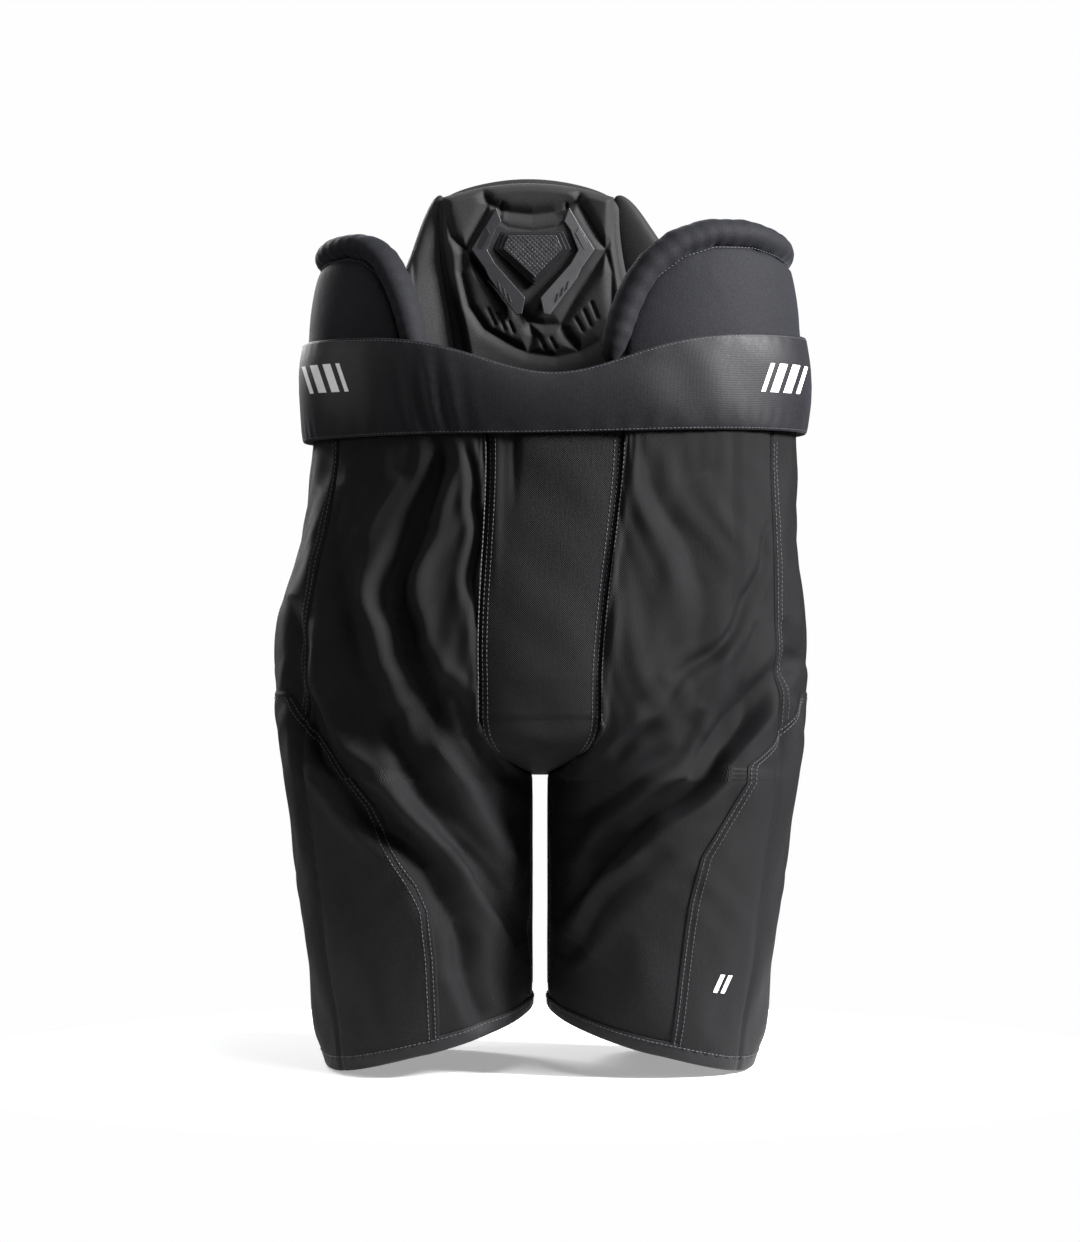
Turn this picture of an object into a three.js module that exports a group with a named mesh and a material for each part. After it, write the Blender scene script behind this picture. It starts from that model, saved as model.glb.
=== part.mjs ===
// Ice hockey pants: a padded belt, a collar of kidney and spine pads, an outer shell sewn from panels,
// hard plates over foam at the hips, thighs and tailbone, and two legs with a zip up the inner thigh.
// Millimetres, +Z up, -Y is the wearer's front and +X the wearer's left. The hems stand on Z = 0.
import * as THREE from "three";

// ---- Driving dimensions -------------------------------------------------------------------------
const hemHalfWidth = 160; // from the middle plane to the outside of a leg, at the hem
const legTopHalfWidth = 188;
const hipHalfWidth = 199;
const waistHalfWidth = 181;
const hemDepth = { front: 106, back: 104 };
const legTopDepth = { front: 116, back: 118 };
const hipDepth = { front: 125, back: 125 };
const waistDepth = { front: 112, back: 114 };
const legTopHeight = 190; // top of the stiff part of each leg
const crotchHeight = 217;
const hipHeight = 290; // where the trunk is widest, and where the hips turn
const trunkShellBottom = 330; // bottom of the stiff part of the trunk
const waistHeight = 467; // top of the shell, where the belt starts
const legGap = 12; // between the two inner thighs
const innerHemRise = 42; // how much shorter a leg is on its inside
const flyHalfWidthAtHip = 44;
const flyHalfWidthAtWaist = 50;

const shellThickness = 2;
const plateThickness = 2;
const foamThickness = 12;
const liningThickness = 1.5;
const layerGap = 1.8; // between one layer and the next one in
const seamGap = 0.7; // between two panels that are sewn edge to edge
const contactGap = 0.3; // between two solids that touch

const hemHeight = 12;
const hemThickness = 4;

const beltThickness = 8;
const beltWidth = 72;
const beltDip = 29; // how far the top of the belt drops at the front
const beltDipHalfWidth = 75;
const beltProud = 9; // how far the belt stands out from the shell

const collarThickness = 18;
const rollHeight = 13;
const rollThickness = 24;
const spineRise = 135; // from the top of the belt to the top of the spine pad
const wingRise = 72;
const spineThickness = 20;
const spineHalfWidth = 60;
const wingThickness = 12;

const strapWidth = 25;
const strapThickness = 2;
const buckleLength = 62;
const buckleWidth = 34;
const buckleThickness = 9;
const buckleWall = 2;

const badgeWidth = 50;
const badgeHeight = 42;
const badgeRise = 71; // from the top of the belt to the middle of the badge
const badgeThickness = 3;
const trimThickness = 3;

const zipAngle = 146; // degrees from the outside of the leg, round the back
const zipTapeWidth = 16;
const zipTeethWidth = 6;
const zipTeethThickness = 1.6;
const sliderLength = 13;
const sliderWidth = 9;
const sliderThickness = 3;
const pullLength = 22;
const pullWidth = 6;
const pullThickness = 1.6;
const zipStartHeight = 34; // bottom of the closed slider, above the hem line

// ---- Colours ------------------------------------------------------------------------------------
const finishes = {
  shell: { color: 0x17171a, roughness: 0.72, metalness: 0 },
  hem: { color: 0x141416, roughness: 0.8, metalness: 0 },
  belt: { color: 0x1c1c21, roughness: 0.66, metalness: 0 },
  collar: { color: 0x1b1b20, roughness: 0.85, metalness: 0 },
  molded: { color: 0x111112, roughness: 0.9, metalness: 0 },
  lining: { color: 0x2a221d, roughness: 0.9, metalness: 0 },
  foam: { color: 0x3a3a3d, roughness: 0.95, metalness: 0 },
  plate: { color: 0x0c0c0d, roughness: 0.4, metalness: 0 },
  webbing: { color: 0x0e0e0f, roughness: 0.85, metalness: 0 },
  buckle: { color: 0x0b0b0c, roughness: 0.35, metalness: 0 },
  badge: { color: 0x101012, roughness: 0.25, metalness: 0 },
  trim: { color: 0x55555a, roughness: 0.3, metalness: 0.4 },
  zip: { color: 0x1a1614, roughness: 0.6, metalness: 0 },
  slider: { color: 0x2a2a2d, roughness: 0.4, metalness: 0.8 },
};
const materials = Object.fromEntries(
  Object.entries(finishes).map(([name, finish]) => [name, new THREE.MeshStandardMaterial(finish)]),
);

const pants = new THREE.Group();

// ---- The shape of the body ----------------------------------------------------------------------
const { lerp, clamp, smoothstep, degToRad, radToDeg } = THREE.MathUtils;

// Straight from hem to leg top to hip, then an eased curve in to the waist.
function profile(height, hem, legTop, hip, waist) {
  if (height < legTopHeight) return lerp(hem, legTop, height / legTopHeight);
  if (height < hipHeight) return lerp(legTop, hip, (height - legTopHeight) / (hipHeight - legTopHeight));
  return lerp(hip, waist, smoothstep(height, hipHeight, waistHeight));
}

const halfWidth = (height) => profile(height, hemHalfWidth, legTopHalfWidth, hipHalfWidth, waistHalfWidth);

function depth(face, height) {
  return profile(height, hemDepth[face], legTopDepth[face], hipDepth[face], waistDepth[face]);
}

// A point on a rounded oval. roundness 1 is an ellipse, and less is squarer.
function oval(angle, width, front, back, roundness) {
  const c = Math.cos(angle);
  const s = Math.sin(angle);
  const across = Math.sign(c) * Math.abs(c) ** roundness * width;
  const along = Math.sign(s) * Math.abs(s) ** roundness * (s < 0 ? front : back);
  return new THREE.Vector2(across, along);
}

const trunkRoundness = 0.83;
const legRoundness = 0.9;

function onTrunk(angle, height, inset) {
  const front = depth("front", height) - inset;
  const back = depth("back", height) - inset;
  return oval(angle, halfWidth(height) - inset, front, back, trunkRoundness);
}

function onLeg(angle, height, inset) {
  const outside = halfWidth(height);
  const inside = legGap / 2;
  const front = depth("front", height) - inset;
  const back = depth("back", height) - inset;
  const point = oval(angle, (outside - inside) / 2 - inset, front, back, legRoundness);
  point.x += (outside + inside) / 2;
  return point;
}

const flyHalfWidth = (height) =>
  lerp(flyHalfWidthAtHip, flyHalfWidthAtWaist, clamp((height - hipHeight) / (waistHeight - hipHeight), 0, 1));

// The trunk angle at which a panel next to the fly or the seat strip begins.
const stripAngle = (height) => Math.acos((flyHalfWidth(height) / halfWidth(height)) ** (1 / trunkRoundness));

const innerEdge = 0.978; // the part of the way round at which the fabric over the hip ends
const crotchBlend = 32; // height over which the inside of a leg turns into the edge of the fly
const sideSpread = 1.9; // how much wider the trunk's columns are at the side than evenly spaced

// Degrees from the outside of the leg to where its hem starts to rise, round the front and round the back.
const riseStart = { front: 25, back: 100 };
const hemRise = (round) =>
  innerHemRise * smoothstep(Math.abs(round) * 180, riseStart[round < 0 ? "front" : "back"], 180);

// One half of the body. round is 0 on the outside, -1 in front and 1 behind: on a leg it goes to the inside
// of the thigh, and on the trunk to the fly and to the seat strip. Above the crotch one turns into the other.
function onBody(side, round, level, inset) {
  const height = level < legTopHeight ? level + hemRise(round) * (1 - level / legTopHeight) : level;
  const leg = onLeg(round * Math.PI, height, inset);
  const share = Math.min(Math.abs(round) / innerEdge, 1);
  const trunkAngle = Math.sign(round) * (1 - (1 - share) ** sideSpread) * stripAngle(height);
  const trunk = onTrunk(trunkAngle, height, inset);
  const blendTop = lerp(hipHeight, crotchHeight + crotchBlend, share ** 2);
  const point = leg.lerp(trunk, smoothstep(height, crotchHeight, blendTop));
  return new THREE.Vector3(side * point.x, point.y, height);
}

// The belt's ring, and the collar's ring just inside it. The collar leans in a little towards its top.
const beltHalfWidth = waistHalfWidth + beltProud;
const beltDepth = { front: waistDepth.front + beltProud, back: waistDepth.back + beltProud };
const beltTop = waistHeight + contactGap + beltWidth;
const spineTop = beltTop + spineRise;
const badgeCentreHeight = beltTop + badgeRise;
const collarInset = beltThickness + 0.6;
const collarLean = 0.09; // inwards for each millimetre above the belt

function onWaist(side, angle, height, inset) {
  const point = oval(
    degToRad(angle),
    beltHalfWidth - inset,
    beltDepth.front - inset,
    beltDepth.back - inset,
    trunkRoundness,
  );
  return new THREE.Vector3(side * point.x, point.y, height);
}

const onCollar = (side, angle, height, inset) =>
  onWaist(side, angle, height, collarInset + inset + collarLean * Math.max(0, height - beltTop));

// ---- Making solids ------------------------------------------------------------------------------
// Turns the faces round where a mapping has mirrored them, so that they point out.
function facingOut(geometry) {
  const flat = geometry.index ? geometry.toNonIndexed() : geometry;
  const p = flat.attributes.position;
  const corner = [0, 1, 2].map(() => new THREE.Vector3());
  let volume = 0;
  for (let i = 0; i < p.count; i += 3) {
    corner.forEach((v, k) => v.fromBufferAttribute(p, i + k));
    volume += corner[0].dot(corner[1].cross(corner[2]));
  }
  if (volume < 0) {
    for (let i = 0; i < p.count; i += 3) {
      corner[0].fromBufferAttribute(p, i + 1);
      corner[1].fromBufferAttribute(p, i + 2);
      p.setXYZ(i + 1, ...corner[1]);
      p.setXYZ(i + 2, ...corner[0]);
    }
  }
  const out = new THREE.BufferGeometry().setAttribute("position", p);
  out.computeVertexNormals();
  return out;
}

function moveEach(geometry, move) {
  const p = geometry.attributes.position;
  const v = new THREE.Vector3();
  for (let i = 0; i < p.count; i++) p.setXYZ(i, ...move(v.fromBufferAttribute(p, i)));
  return facingOut(geometry);
}

function add(name, finish, geometry) {
  const mesh = new THREE.Mesh(geometry, materials[finish]);
  mesh.name = name;
  pants.add(mesh);
  return mesh;
}

// A slab: a box whose width, height and thickness run across, up and into a surface. place takes the shares
// of the way across and up, and whether the point is on the inner face, and gives the point in space.
function slab(name, finish, columns, rows, place) {
  const box = new THREE.BoxGeometry(1, 1, 1, columns, rows, 1);
  return add(name, finish, moveEach(box, (v) => place(v.x + 0.5, v.y + 0.5, v.z < 0)));
}

const valueAt = (edge, at) => (typeof edge === "function" ? edge(at) : edge);

// A slab on one half of the body, between two edges that may slope, and two levels.
// A point squarely below the surface, for fabric that turns under the crotch.
function belowSurface(side, round, level, distance) {
  const step = 0.01;
  const point = onBody(side, round, level, 0);
  const along = onBody(side, round + step, level, 0).sub(onBody(side, round - step, level, 0));
  const upward = onBody(side, round, level + 1, 0).sub(onBody(side, round, level - 1, 0));
  return point.addScaledVector(along.cross(upward).normalize(), -side * distance);
}

const halfRoundColumns = 20; // columns of facets from the outside of the body round to its middle
function bodyPanel(name, finish, side, panel) {
  const { from, to, bottom, top, outer, thickness, rows } = panel;
  const columns = Math.ceil((valueAt(to, top) - valueAt(from, top)) * halfRoundColumns);
  slab(name, finish, columns, rows, (across, up, inner) => {
    const level = panel.levelAt ? panel.levelAt(up) : lerp(bottom, top, up);
    const round = lerp(valueAt(from, level), valueAt(to, level), across);
    if (inner && panel.square) return belowSurface(side, round, level, thickness);
    return onBody(side, round, level, inner ? outer + thickness : outer);
  });
}

// A slab on the belt's or the collar's ring, between two angles, with a top that may slope.
function ringPanel(name, finish, side, panel) {
  const { surface, from, to, bottom, top, outer, thickness, columns, rows } = panel;
  slab(name, finish, columns, rows, (across, up, inner) => {
    const angle = lerp(from, to, across);
    const height = lerp(valueAt(bottom, angle), valueAt(top, angle), up);
    return surface(side, angle, height, inner ? outer + thickness : outer);
  });
}

// A closed ring: a turned band whose every corner is moved onto a surface.
function closedRing(name, finish, columns, rows, place) {
  const wall = 1;
  const radius = 10;
  const outside = [];
  const inside = [];
  for (let i = 0; i <= rows; i++) {
    outside.push(new THREE.Vector2(radius, i));
    inside.unshift(new THREE.Vector2(radius - wall, i));
  }
  const turned = new THREE.LatheGeometry([...outside, ...inside, outside[0]], columns);
  const move = (v) => place(Math.atan2(v.z, v.x), v.y / rows, Math.hypot(v.x, v.z) < radius - wall / 2);
  return add(name, finish, moveEach(turned, move));
}

// A flat plate in the XZ plane: an outline that is extruded towards the front.
function flatPlate(name, finish, outline, thickness, backY, bevel = 0) {
  const settings = {
    depth: thickness - 2 * bevel,
    bevelEnabled: bevel > 0,
    bevelThickness: bevel,
    bevelSize: bevel,
    bevelOffset: -bevel,
    bevelSegments: 1,
  };
  const plate = new THREE.ExtrudeGeometry(outline, settings);
  plate.translate(0, 0, bevel);
  return add(name, finish, moveEach(plate, (v) => new THREE.Vector3(v.x, backY - v.z, v.y)));
}

const outlineOf = (points) => new THREE.Shape(points.map(([x, z]) => new THREE.Vector2(x, z)));

const sides = [
  { hand: "left", side: 1 },
  { hand: "right", side: -1 },
];

// Layers, counted inwards from the outside of the shell.
const plateInset = shellThickness + layerGap;
const foamInset = plateInset + plateThickness + layerGap;
const liningInset = foamInset + foamThickness + layerGap;

// ---- Outer shell of the trunk -------------------------------------------------------------------
const rowHeight = 26; // of the facets where the sides curve in to the waist
const rowsIn = (bottom, top) => Math.ceil((top - bottom) / rowHeight);
const seamShare = seamGap / 2 / 345; // half a seam gap, as a share of half the trunk
const frontSideSeam = -0.23;
const backSideSeam = 0.36;
const trunkShell = {
  bottom: trunkShellBottom,
  top: waistHeight,
  outer: 0,
  thickness: shellThickness,
  rows: rowsIn(trunkShellBottom, waistHeight),
};

for (const { hand, side } of sides) {
  const front = { from: -innerEdge, to: frontSideSeam - seamShare };
  const outside = { from: frontSideSeam + seamShare, to: backSideSeam - seamShare };
  const back = { from: backSideSeam + seamShare, to: innerEdge };
  bodyPanel(`front_panel_${hand}`, "shell", side, { ...trunkShell, ...front });
  bodyPanel(`side_panel_${hand}`, "shell", side, { ...trunkShell, ...outside });
  bodyPanel(`back_panel_${hand}`, "shell", side, { ...trunkShell, ...back });
}

// The fly in front and the seat strip behind close the shell between the two halves.
function middleStrip(name, face) {
  slab(name, "shell", 6, trunkShell.rows, (across, up, inner) => {
    const level = lerp(trunkShellBottom, waistHeight, up);
    const edge = stripAngle(level) + seamGap / flyHalfWidthAtHip;
    const point = onTrunk(face * lerp(edge, Math.PI - edge, across), level, inner ? shellThickness : 0);
    return new THREE.Vector3(point.x, point.y, level);
  });
}
middleStrip("fly_panel", -1);
middleStrip("seat_panel", 1);

// ---- Fabric that folds at the hips and the crotch -----------------------------------------------
// The fabric and the gusset share their rows above the crotch, which lie closer together lower down.
const foldRows = 6;
const foldBend = 2;
const foldTop = trunkShellBottom - seamGap;
const foldLevel = (share) => lerp(crotchHeight, foldTop, share ** foldBend);

function fabricLevel(up) {
  const row = up * (foldRows + 1) - 1;
  return row < 0 ? lerp(crotchHeight, legTopHeight + seamGap, -row) : foldLevel(row / foldRows);
}

for (const { hand, side } of sides) {
  bodyPanel(`hip_fabric_${hand}`, "shell", side, {
    from: -innerEdge,
    to: innerEdge,
    bottom: legTopHeight + seamGap,
    top: foldTop,
    levelAt: fabricLevel,
    square: true,
    outer: 0,
    thickness: shellThickness,
    rows: foldRows + 1,
  });
}

// The gusset runs from the fly down under the crotch and up to the seat strip.
const gussetGap = 3.2; // clear of the fabric, whose inner face leans towards it
slab("crotch_gusset", "shell", 2, 2 * foldRows, (across, up, inner) => {
  const along = 2 * up - 1;
  const level = foldLevel(Math.abs(along));
  const edge = onBody(1, along < 0 ? -innerEdge : innerEdge, level, 0);
  const halfStrip = Math.max(edge.x - gussetGap, 3);
  const point = new THREE.Vector3(halfStrip * (2 * across - 1), along === 0 ? 0 : edge.y, level);
  if (!inner) return point;
  const under = 1 - smoothstep(level, crotchHeight, crotchHeight + crotchBlend);
  const square = new THREE.Vector3(0, -Math.sign(along) * (1 - under), under).normalize();
  return point.addScaledVector(square, shellThickness);
});

// ---- Belt ---------------------------------------------------------------------------------------
const dipAt = (x, y) => (y < 0 ? beltDip * Math.exp(-((x / beltDipHalfWidth) ** 2)) : 0);
closedRing("belt_cover", "belt", 48, 1, (angle, up, inner) => {
  const bottom = waistHeight + contactGap;
  const point = onWaist(1, radToDeg(angle), bottom, inner ? beltThickness : 0);
  point.z = lerp(bottom, beltTop - dipAt(point.x, point.y), up);
  return point;
});

// ---- Kidney pads, with the rolled edge along their tops -----------------------------------------
const collarBottom = waistHeight + 4;
const collarFront = -76; // degrees from the side towards the front
const collarBack = 41;
const collarRises = [
  [collarFront, 3],
  [-66, 34],
  [-52, 64],
  [-37, 69],
  [0, 57],
  [collarBack, 52],
]; // degrees from the side, and how far the pad stands above the belt there

function collarTop(angle) {
  const next = Math.max(1, collarRises.findIndex(([a]) => a >= angle));
  const [a0, rise0] = collarRises[next - 1];
  const [a1, rise1] = collarRises[next];
  return beltTop + lerp(rise0, rise1, (angle - a0) / (a1 - a0));
}

const steepest = 2.2; // the most that the roll is stretched upwards
// How much taller the roll has to be where the edge slopes, so that it stays as thick.
function rollTop(angle) {
  const step = 0.5;
  const before = collarTop(Math.max(angle - step, collarFront));
  const after = collarTop(Math.min(angle + step, collarBack));
  const slope = (after - before) / (degToRad(2 * step) * beltDepth.front);
  return collarTop(angle) + layerGap + rollHeight * Math.min(Math.hypot(1, slope), steepest);
}

for (const { hand, side } of sides) {
  const pad = { surface: onCollar, from: collarFront, to: collarBack, columns: 13 };
  ringPanel(`kidney_pad_${hand}`, "collar", side, {
    ...pad,
    bottom: collarBottom,
    top: collarTop,
    outer: 0,
    thickness: collarThickness,
    rows: 3,
  });
  ringPanel(`kidney_roll_${hand}`, "collar", side, {
    ...pad,
    bottom: (angle) => collarTop(angle) + layerGap,
    top: rollTop,
    outer: (collarThickness - rollThickness) / 2,
    thickness: rollThickness,
    rows: 1,
  });
}

// ---- Spine pad, its two wings and the hard plate inside it --------------------------------------
const spineAngle = 90 - 22; // where the middle of the pad ends and a wing starts
const wingEnd = collarBack + 1.2;
const spineRound = 0.0026; // how the top edge falls away from the middle, per millimetre squared
const wingTopAtEnd = beltTop + wingRise;

function spineEdge(x) {
  return spineTop - spineRound * x * x;
}

slab("spine_pad", "molded", 8, 4, (across, up, inner) => {
  const angle = lerp(180 - spineAngle, spineAngle, across);
  const x = onWaist(1, angle, 0, collarInset).x;
  const height = lerp(collarBottom, spineEdge(x), up);
  return onCollar(1, angle, height, inner ? spineThickness : 0);
});

for (const { hand, side } of sides) {
  ringPanel(`spine_wing_${hand}`, "molded", side, {
    surface: onCollar,
    from: wingEnd,
    to: spineAngle - 0.5,
    bottom: collarBottom,
    top: (angle) => lerp(wingTopAtEnd, spineEdge(spineHalfWidth), (angle - wingEnd) / (spineAngle - wingEnd)),
    outer: 2,
    thickness: wingThickness,
    columns: 4,
    rows: 3,
  });
}

// The plate lies in the fabric on the outside of the pad.
const spinePlateHalfAngle = 15;
ringPanel("spine_plate", "plate", 1, {
  surface: onCollar,
  from: 90 - spinePlateHalfAngle,
  to: 90 + spinePlateHalfAngle,
  bottom: beltTop + 8,
  top: spineTop - 26,
  outer: -layerGap - plateThickness,
  thickness: plateThickness,
  columns: 4,
  rows: 3,
});

// ---- Badge and trims on the inside of the spine pad ---------------------------------------------
// The pad's inner face leans to the front as it rises, so the plates stand clear of its highest point.
const lean = collarLean * (spineTop - beltTop);
const padFaceY = beltDepth.back - collarInset - spineThickness - lean;
const badgeBackY = padFaceY - 0.6;

const shoulder = badgeHeight * 0.16; // height of the badge's widest point above its centre
const badgeOutline = (grow) =>
  outlineOf([
    [-badgeWidth * 0.36 - grow, badgeCentreHeight + badgeHeight / 2 + grow],
    [-badgeWidth / 2 - grow, badgeCentreHeight + shoulder],
    [-badgeWidth * 0.1 - grow / 2, badgeCentreHeight - badgeHeight / 2 - grow],
    [badgeWidth * 0.1 + grow / 2, badgeCentreHeight - badgeHeight / 2 - grow],
    [badgeWidth / 2 + grow, badgeCentreHeight + shoulder],
    [badgeWidth * 0.36 + grow, badgeCentreHeight + badgeHeight / 2 + grow],
  ]);
const frameBorder = 3;
const badgeFrameThickness = badgeThickness - 1;
flatPlate("badge_frame", "badge", badgeOutline(frameBorder), badgeFrameThickness, badgeBackY);
const badgeY = badgeBackY - badgeFrameThickness - contactGap;
flatPlate("badge", "badge", badgeOutline(0), badgeThickness, badgeY, 1);

// Each trim is half of a V: a tall arm beside the badge, and a foot that runs down under it.
const trimGap = 3;
for (const { hand, side } of sides) {
  const armFoot = badgeCentreHeight - badgeHeight / 2 - frameBorder;
  const elbowX = badgeWidth / 2 + frameBorder + trimGap;
  const trimOutline = outlineOf(
    [
      [elbowX - 6, badgeCentreHeight + badgeHeight / 2 + 14],
      [elbowX + 14, badgeCentreHeight + shoulder + 3],
      [elbowX + 15, badgeCentreHeight + shoulder - 4],
      [elbowX - 3, armFoot + 3],
      [trimGap / 2 + 8, armFoot - 19],
      [trimGap / 2, armFoot - 6],
      [elbowX + 1, badgeCentreHeight + shoulder],
      [elbowX - 7, badgeCentreHeight + badgeHeight / 2],
    ].map(([x, z]) => [side * x, z]),
  );
  flatPlate(`spine_trim_${hand}`, "trim", trimOutline, trimThickness, badgeBackY, 0.8);
}

// ---- Inner waist strap and its side release buckle ----------------------------------------------
const strapInset = collarThickness + layerGap;
const strapMiddle = beltTop - beltDip - buckleWidth / 2 - 3;
const strapBack = 60; // degrees from the side towards the back
const buckleMiddleY = -(beltDepth.front - collarInset - strapInset - strapThickness / 2) + 3;
const socketShare = 0.55; // the socket's share of the buckle's length

const strapRing = beltHalfWidth - collarInset - strapInset;
const strapFront = -radToDeg(Math.acos(((buckleLength / 2 + seamGap) / strapRing) ** (1 / trunkRoundness)));
for (const { hand, side } of sides) {
  ringPanel(`belt_strap_${hand}`, "webbing", side, {
    surface: onCollar,
    from: strapFront,
    to: strapBack,
    bottom: strapMiddle - strapWidth / 2,
    top: strapMiddle + strapWidth / 2,
    outer: strapInset,
    thickness: strapThickness,
    columns: 14,
    rows: 1,
  });
}

// The socket is a flat sleeve that is open towards the plug, on the wearer's left.
function boxOutline(x0, x1, z0, z1) {
  return [
    [x0, z0],
    [x1, z0],
    [x1, z1],
    [x0, z1],
  ];
}
const socketEnd = buckleLength / 2;
const socketMouth = socketEnd - buckleLength * socketShare;
const sleeve = outlineOf(
  boxOutline(-buckleThickness / 2, buckleThickness / 2, -buckleWidth / 2, buckleWidth / 2),
);
sleeve.holes.push(
  new THREE.Path(
    boxOutline(
      -buckleThickness / 2 + buckleWall,
      buckleThickness / 2 - buckleWall,
      -buckleWidth / 2 + buckleWall,
      buckleWidth / 2 - buckleWall,
    ).map(([x, z]) => new THREE.Vector2(x, z)),
  ),
);
const socketLength = buckleLength * socketShare;
const socketBody = new THREE.ExtrudeGeometry(sleeve, { depth: socketLength, bevelEnabled: false });
add(
  "buckle_socket",
  "buckle",
  moveEach(socketBody, (v) => new THREE.Vector3(socketMouth + v.z, buckleMiddleY + v.x, strapMiddle + v.y)),
);

// The plug has a grip outside the socket, and a tongue with two prongs that runs inside it.
const prongThickness = buckleThickness - 2 * buckleWall - 2 * 0.4;
const prongWidth = buckleWidth / 2 - buckleWall - 0.6;
const prongReach = buckleLength * socketShare * 0.78;
const gripStart = -buckleLength / 2;
const gripEnd = socketMouth - 0.5;
const plugOutline = outlineOf([
  [gripStart, strapMiddle - buckleWidth / 2],
  [gripEnd, strapMiddle - buckleWidth / 2],
  [gripEnd, strapMiddle - prongWidth],
  [gripEnd + prongReach, strapMiddle - prongWidth],
  [gripEnd + prongReach, strapMiddle - prongWidth * 0.55],
  [gripEnd + 4, strapMiddle - prongWidth * 0.3],
  [gripEnd + 4, strapMiddle + prongWidth * 0.3],
  [gripEnd + prongReach, strapMiddle + prongWidth * 0.55],
  [gripEnd + prongReach, strapMiddle + prongWidth],
  [gripEnd, strapMiddle + prongWidth],
  [gripEnd, strapMiddle + buckleWidth / 2],
  [gripStart, strapMiddle + buckleWidth / 2],
]);
flatPlate("buckle_plug", "buckle", plugOutline, prongThickness, buckleMiddleY + prongThickness / 2);

// ---- Hip pads and tailbone pad, each with a hard plate outside its foam -------------------------
const hipPadTop = waistHeight - 12;
const hipPadBottom = hipHeight - 32;
const plateMargin = 14;
const hipPadHalf = (level) => lerp(0.28, 0.4, (level - hipPadBottom) / (hipPadTop - hipPadBottom));

for (const { hand, side } of sides) {
  bodyPanel(`hip_pad_${hand}`, "foam", side, {
    from: (level) => -hipPadHalf(level),
    to: hipPadHalf,
    bottom: hipPadBottom,
    top: hipPadTop,
    outer: foamInset,
    thickness: foamThickness,
    rows: rowsIn(hipPadBottom, hipPadTop),
  });
  bodyPanel(`hip_plate_${hand}`, "plate", side, {
    from: (level) => -hipPadHalf(level) + 0.05,
    to: (level) => hipPadHalf(level) - 0.05,
    bottom: hipPadBottom + plateMargin,
    top: hipPadTop - plateMargin,
    outer: plateInset,
    thickness: plateThickness,
    rows: rowsIn(hipPadBottom + plateMargin, hipPadTop - plateMargin),
  });
}

// A slab across the middle of the back, between the same angle on both sides.
function backPad(name, finish, { halfAngle, bottom, top, outer, thickness, columns }) {
  slab(name, finish, columns, rowsIn(bottom, top), (across, up, inner) => {
    const angle = degToRad(lerp(90 + halfAngle, 90 - halfAngle, across));
    const height = lerp(bottom, top, up);
    const point = onTrunk(angle, height, inner ? outer + thickness : outer);
    return new THREE.Vector3(point.x, point.y, height);
  });
}
const tailPad = { halfAngle: 30, bottom: trunkShellBottom - 12, top: waistHeight - 14 };
backPad("tailbone_pad", "foam", { ...tailPad, outer: foamInset, thickness: foamThickness, columns: 12 });
backPad("tailbone_plate", "plate", {
  halfAngle: tailPad.halfAngle - 8,
  bottom: tailPad.bottom + plateMargin,
  top: tailPad.top - plateMargin,
  outer: plateInset,
  thickness: plateThickness,
  columns: 10,
});

// ---- Lining of the trunk ------------------------------------------------------------------------
const trunkLiningBottom = trunkShellBottom - 12;
closedRing("trunk_lining", "lining", 44, rowsIn(trunkLiningBottom, waistHeight), (angle, up, inner) => {
  const height = lerp(trunkLiningBottom, waistHeight, up);
  const point = onTrunk(angle, height, inner ? liningInset + liningThickness : liningInset);
  return new THREE.Vector3(point.x, point.y, height);
});

// ---- Legs ---------------------------------------------------------------------------------------
const zipRound = zipAngle / 180;
const tapeShare = (zipTapeWidth / 2 + seamGap) / 305; // half the zip's slot, as a share of half a leg
const zipFront = zipRound - 2 + tapeShare; // the tape's two edges, going the long way round the leg
const zipBack = zipRound - tapeShare;
const innerSeam = -165 / 180;
const capSeamAtHem = -84 / 180;
const capSeamAtTop = -50 / 180;
const backSeam = 40 / 180;
const capSeam = (level) => lerp(capSeamAtHem, capSeamAtTop, level / legTopHeight);
const legRows = 2;
const legShell = {
  bottom: hemHeight + contactGap,
  top: legTopHeight,
  outer: 0,
  thickness: shellThickness,
  rows: legRows,
};

const thighPad = { from: -0.8, to: -0.36 };
const thighPadTop = crotchHeight + 14;

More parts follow.
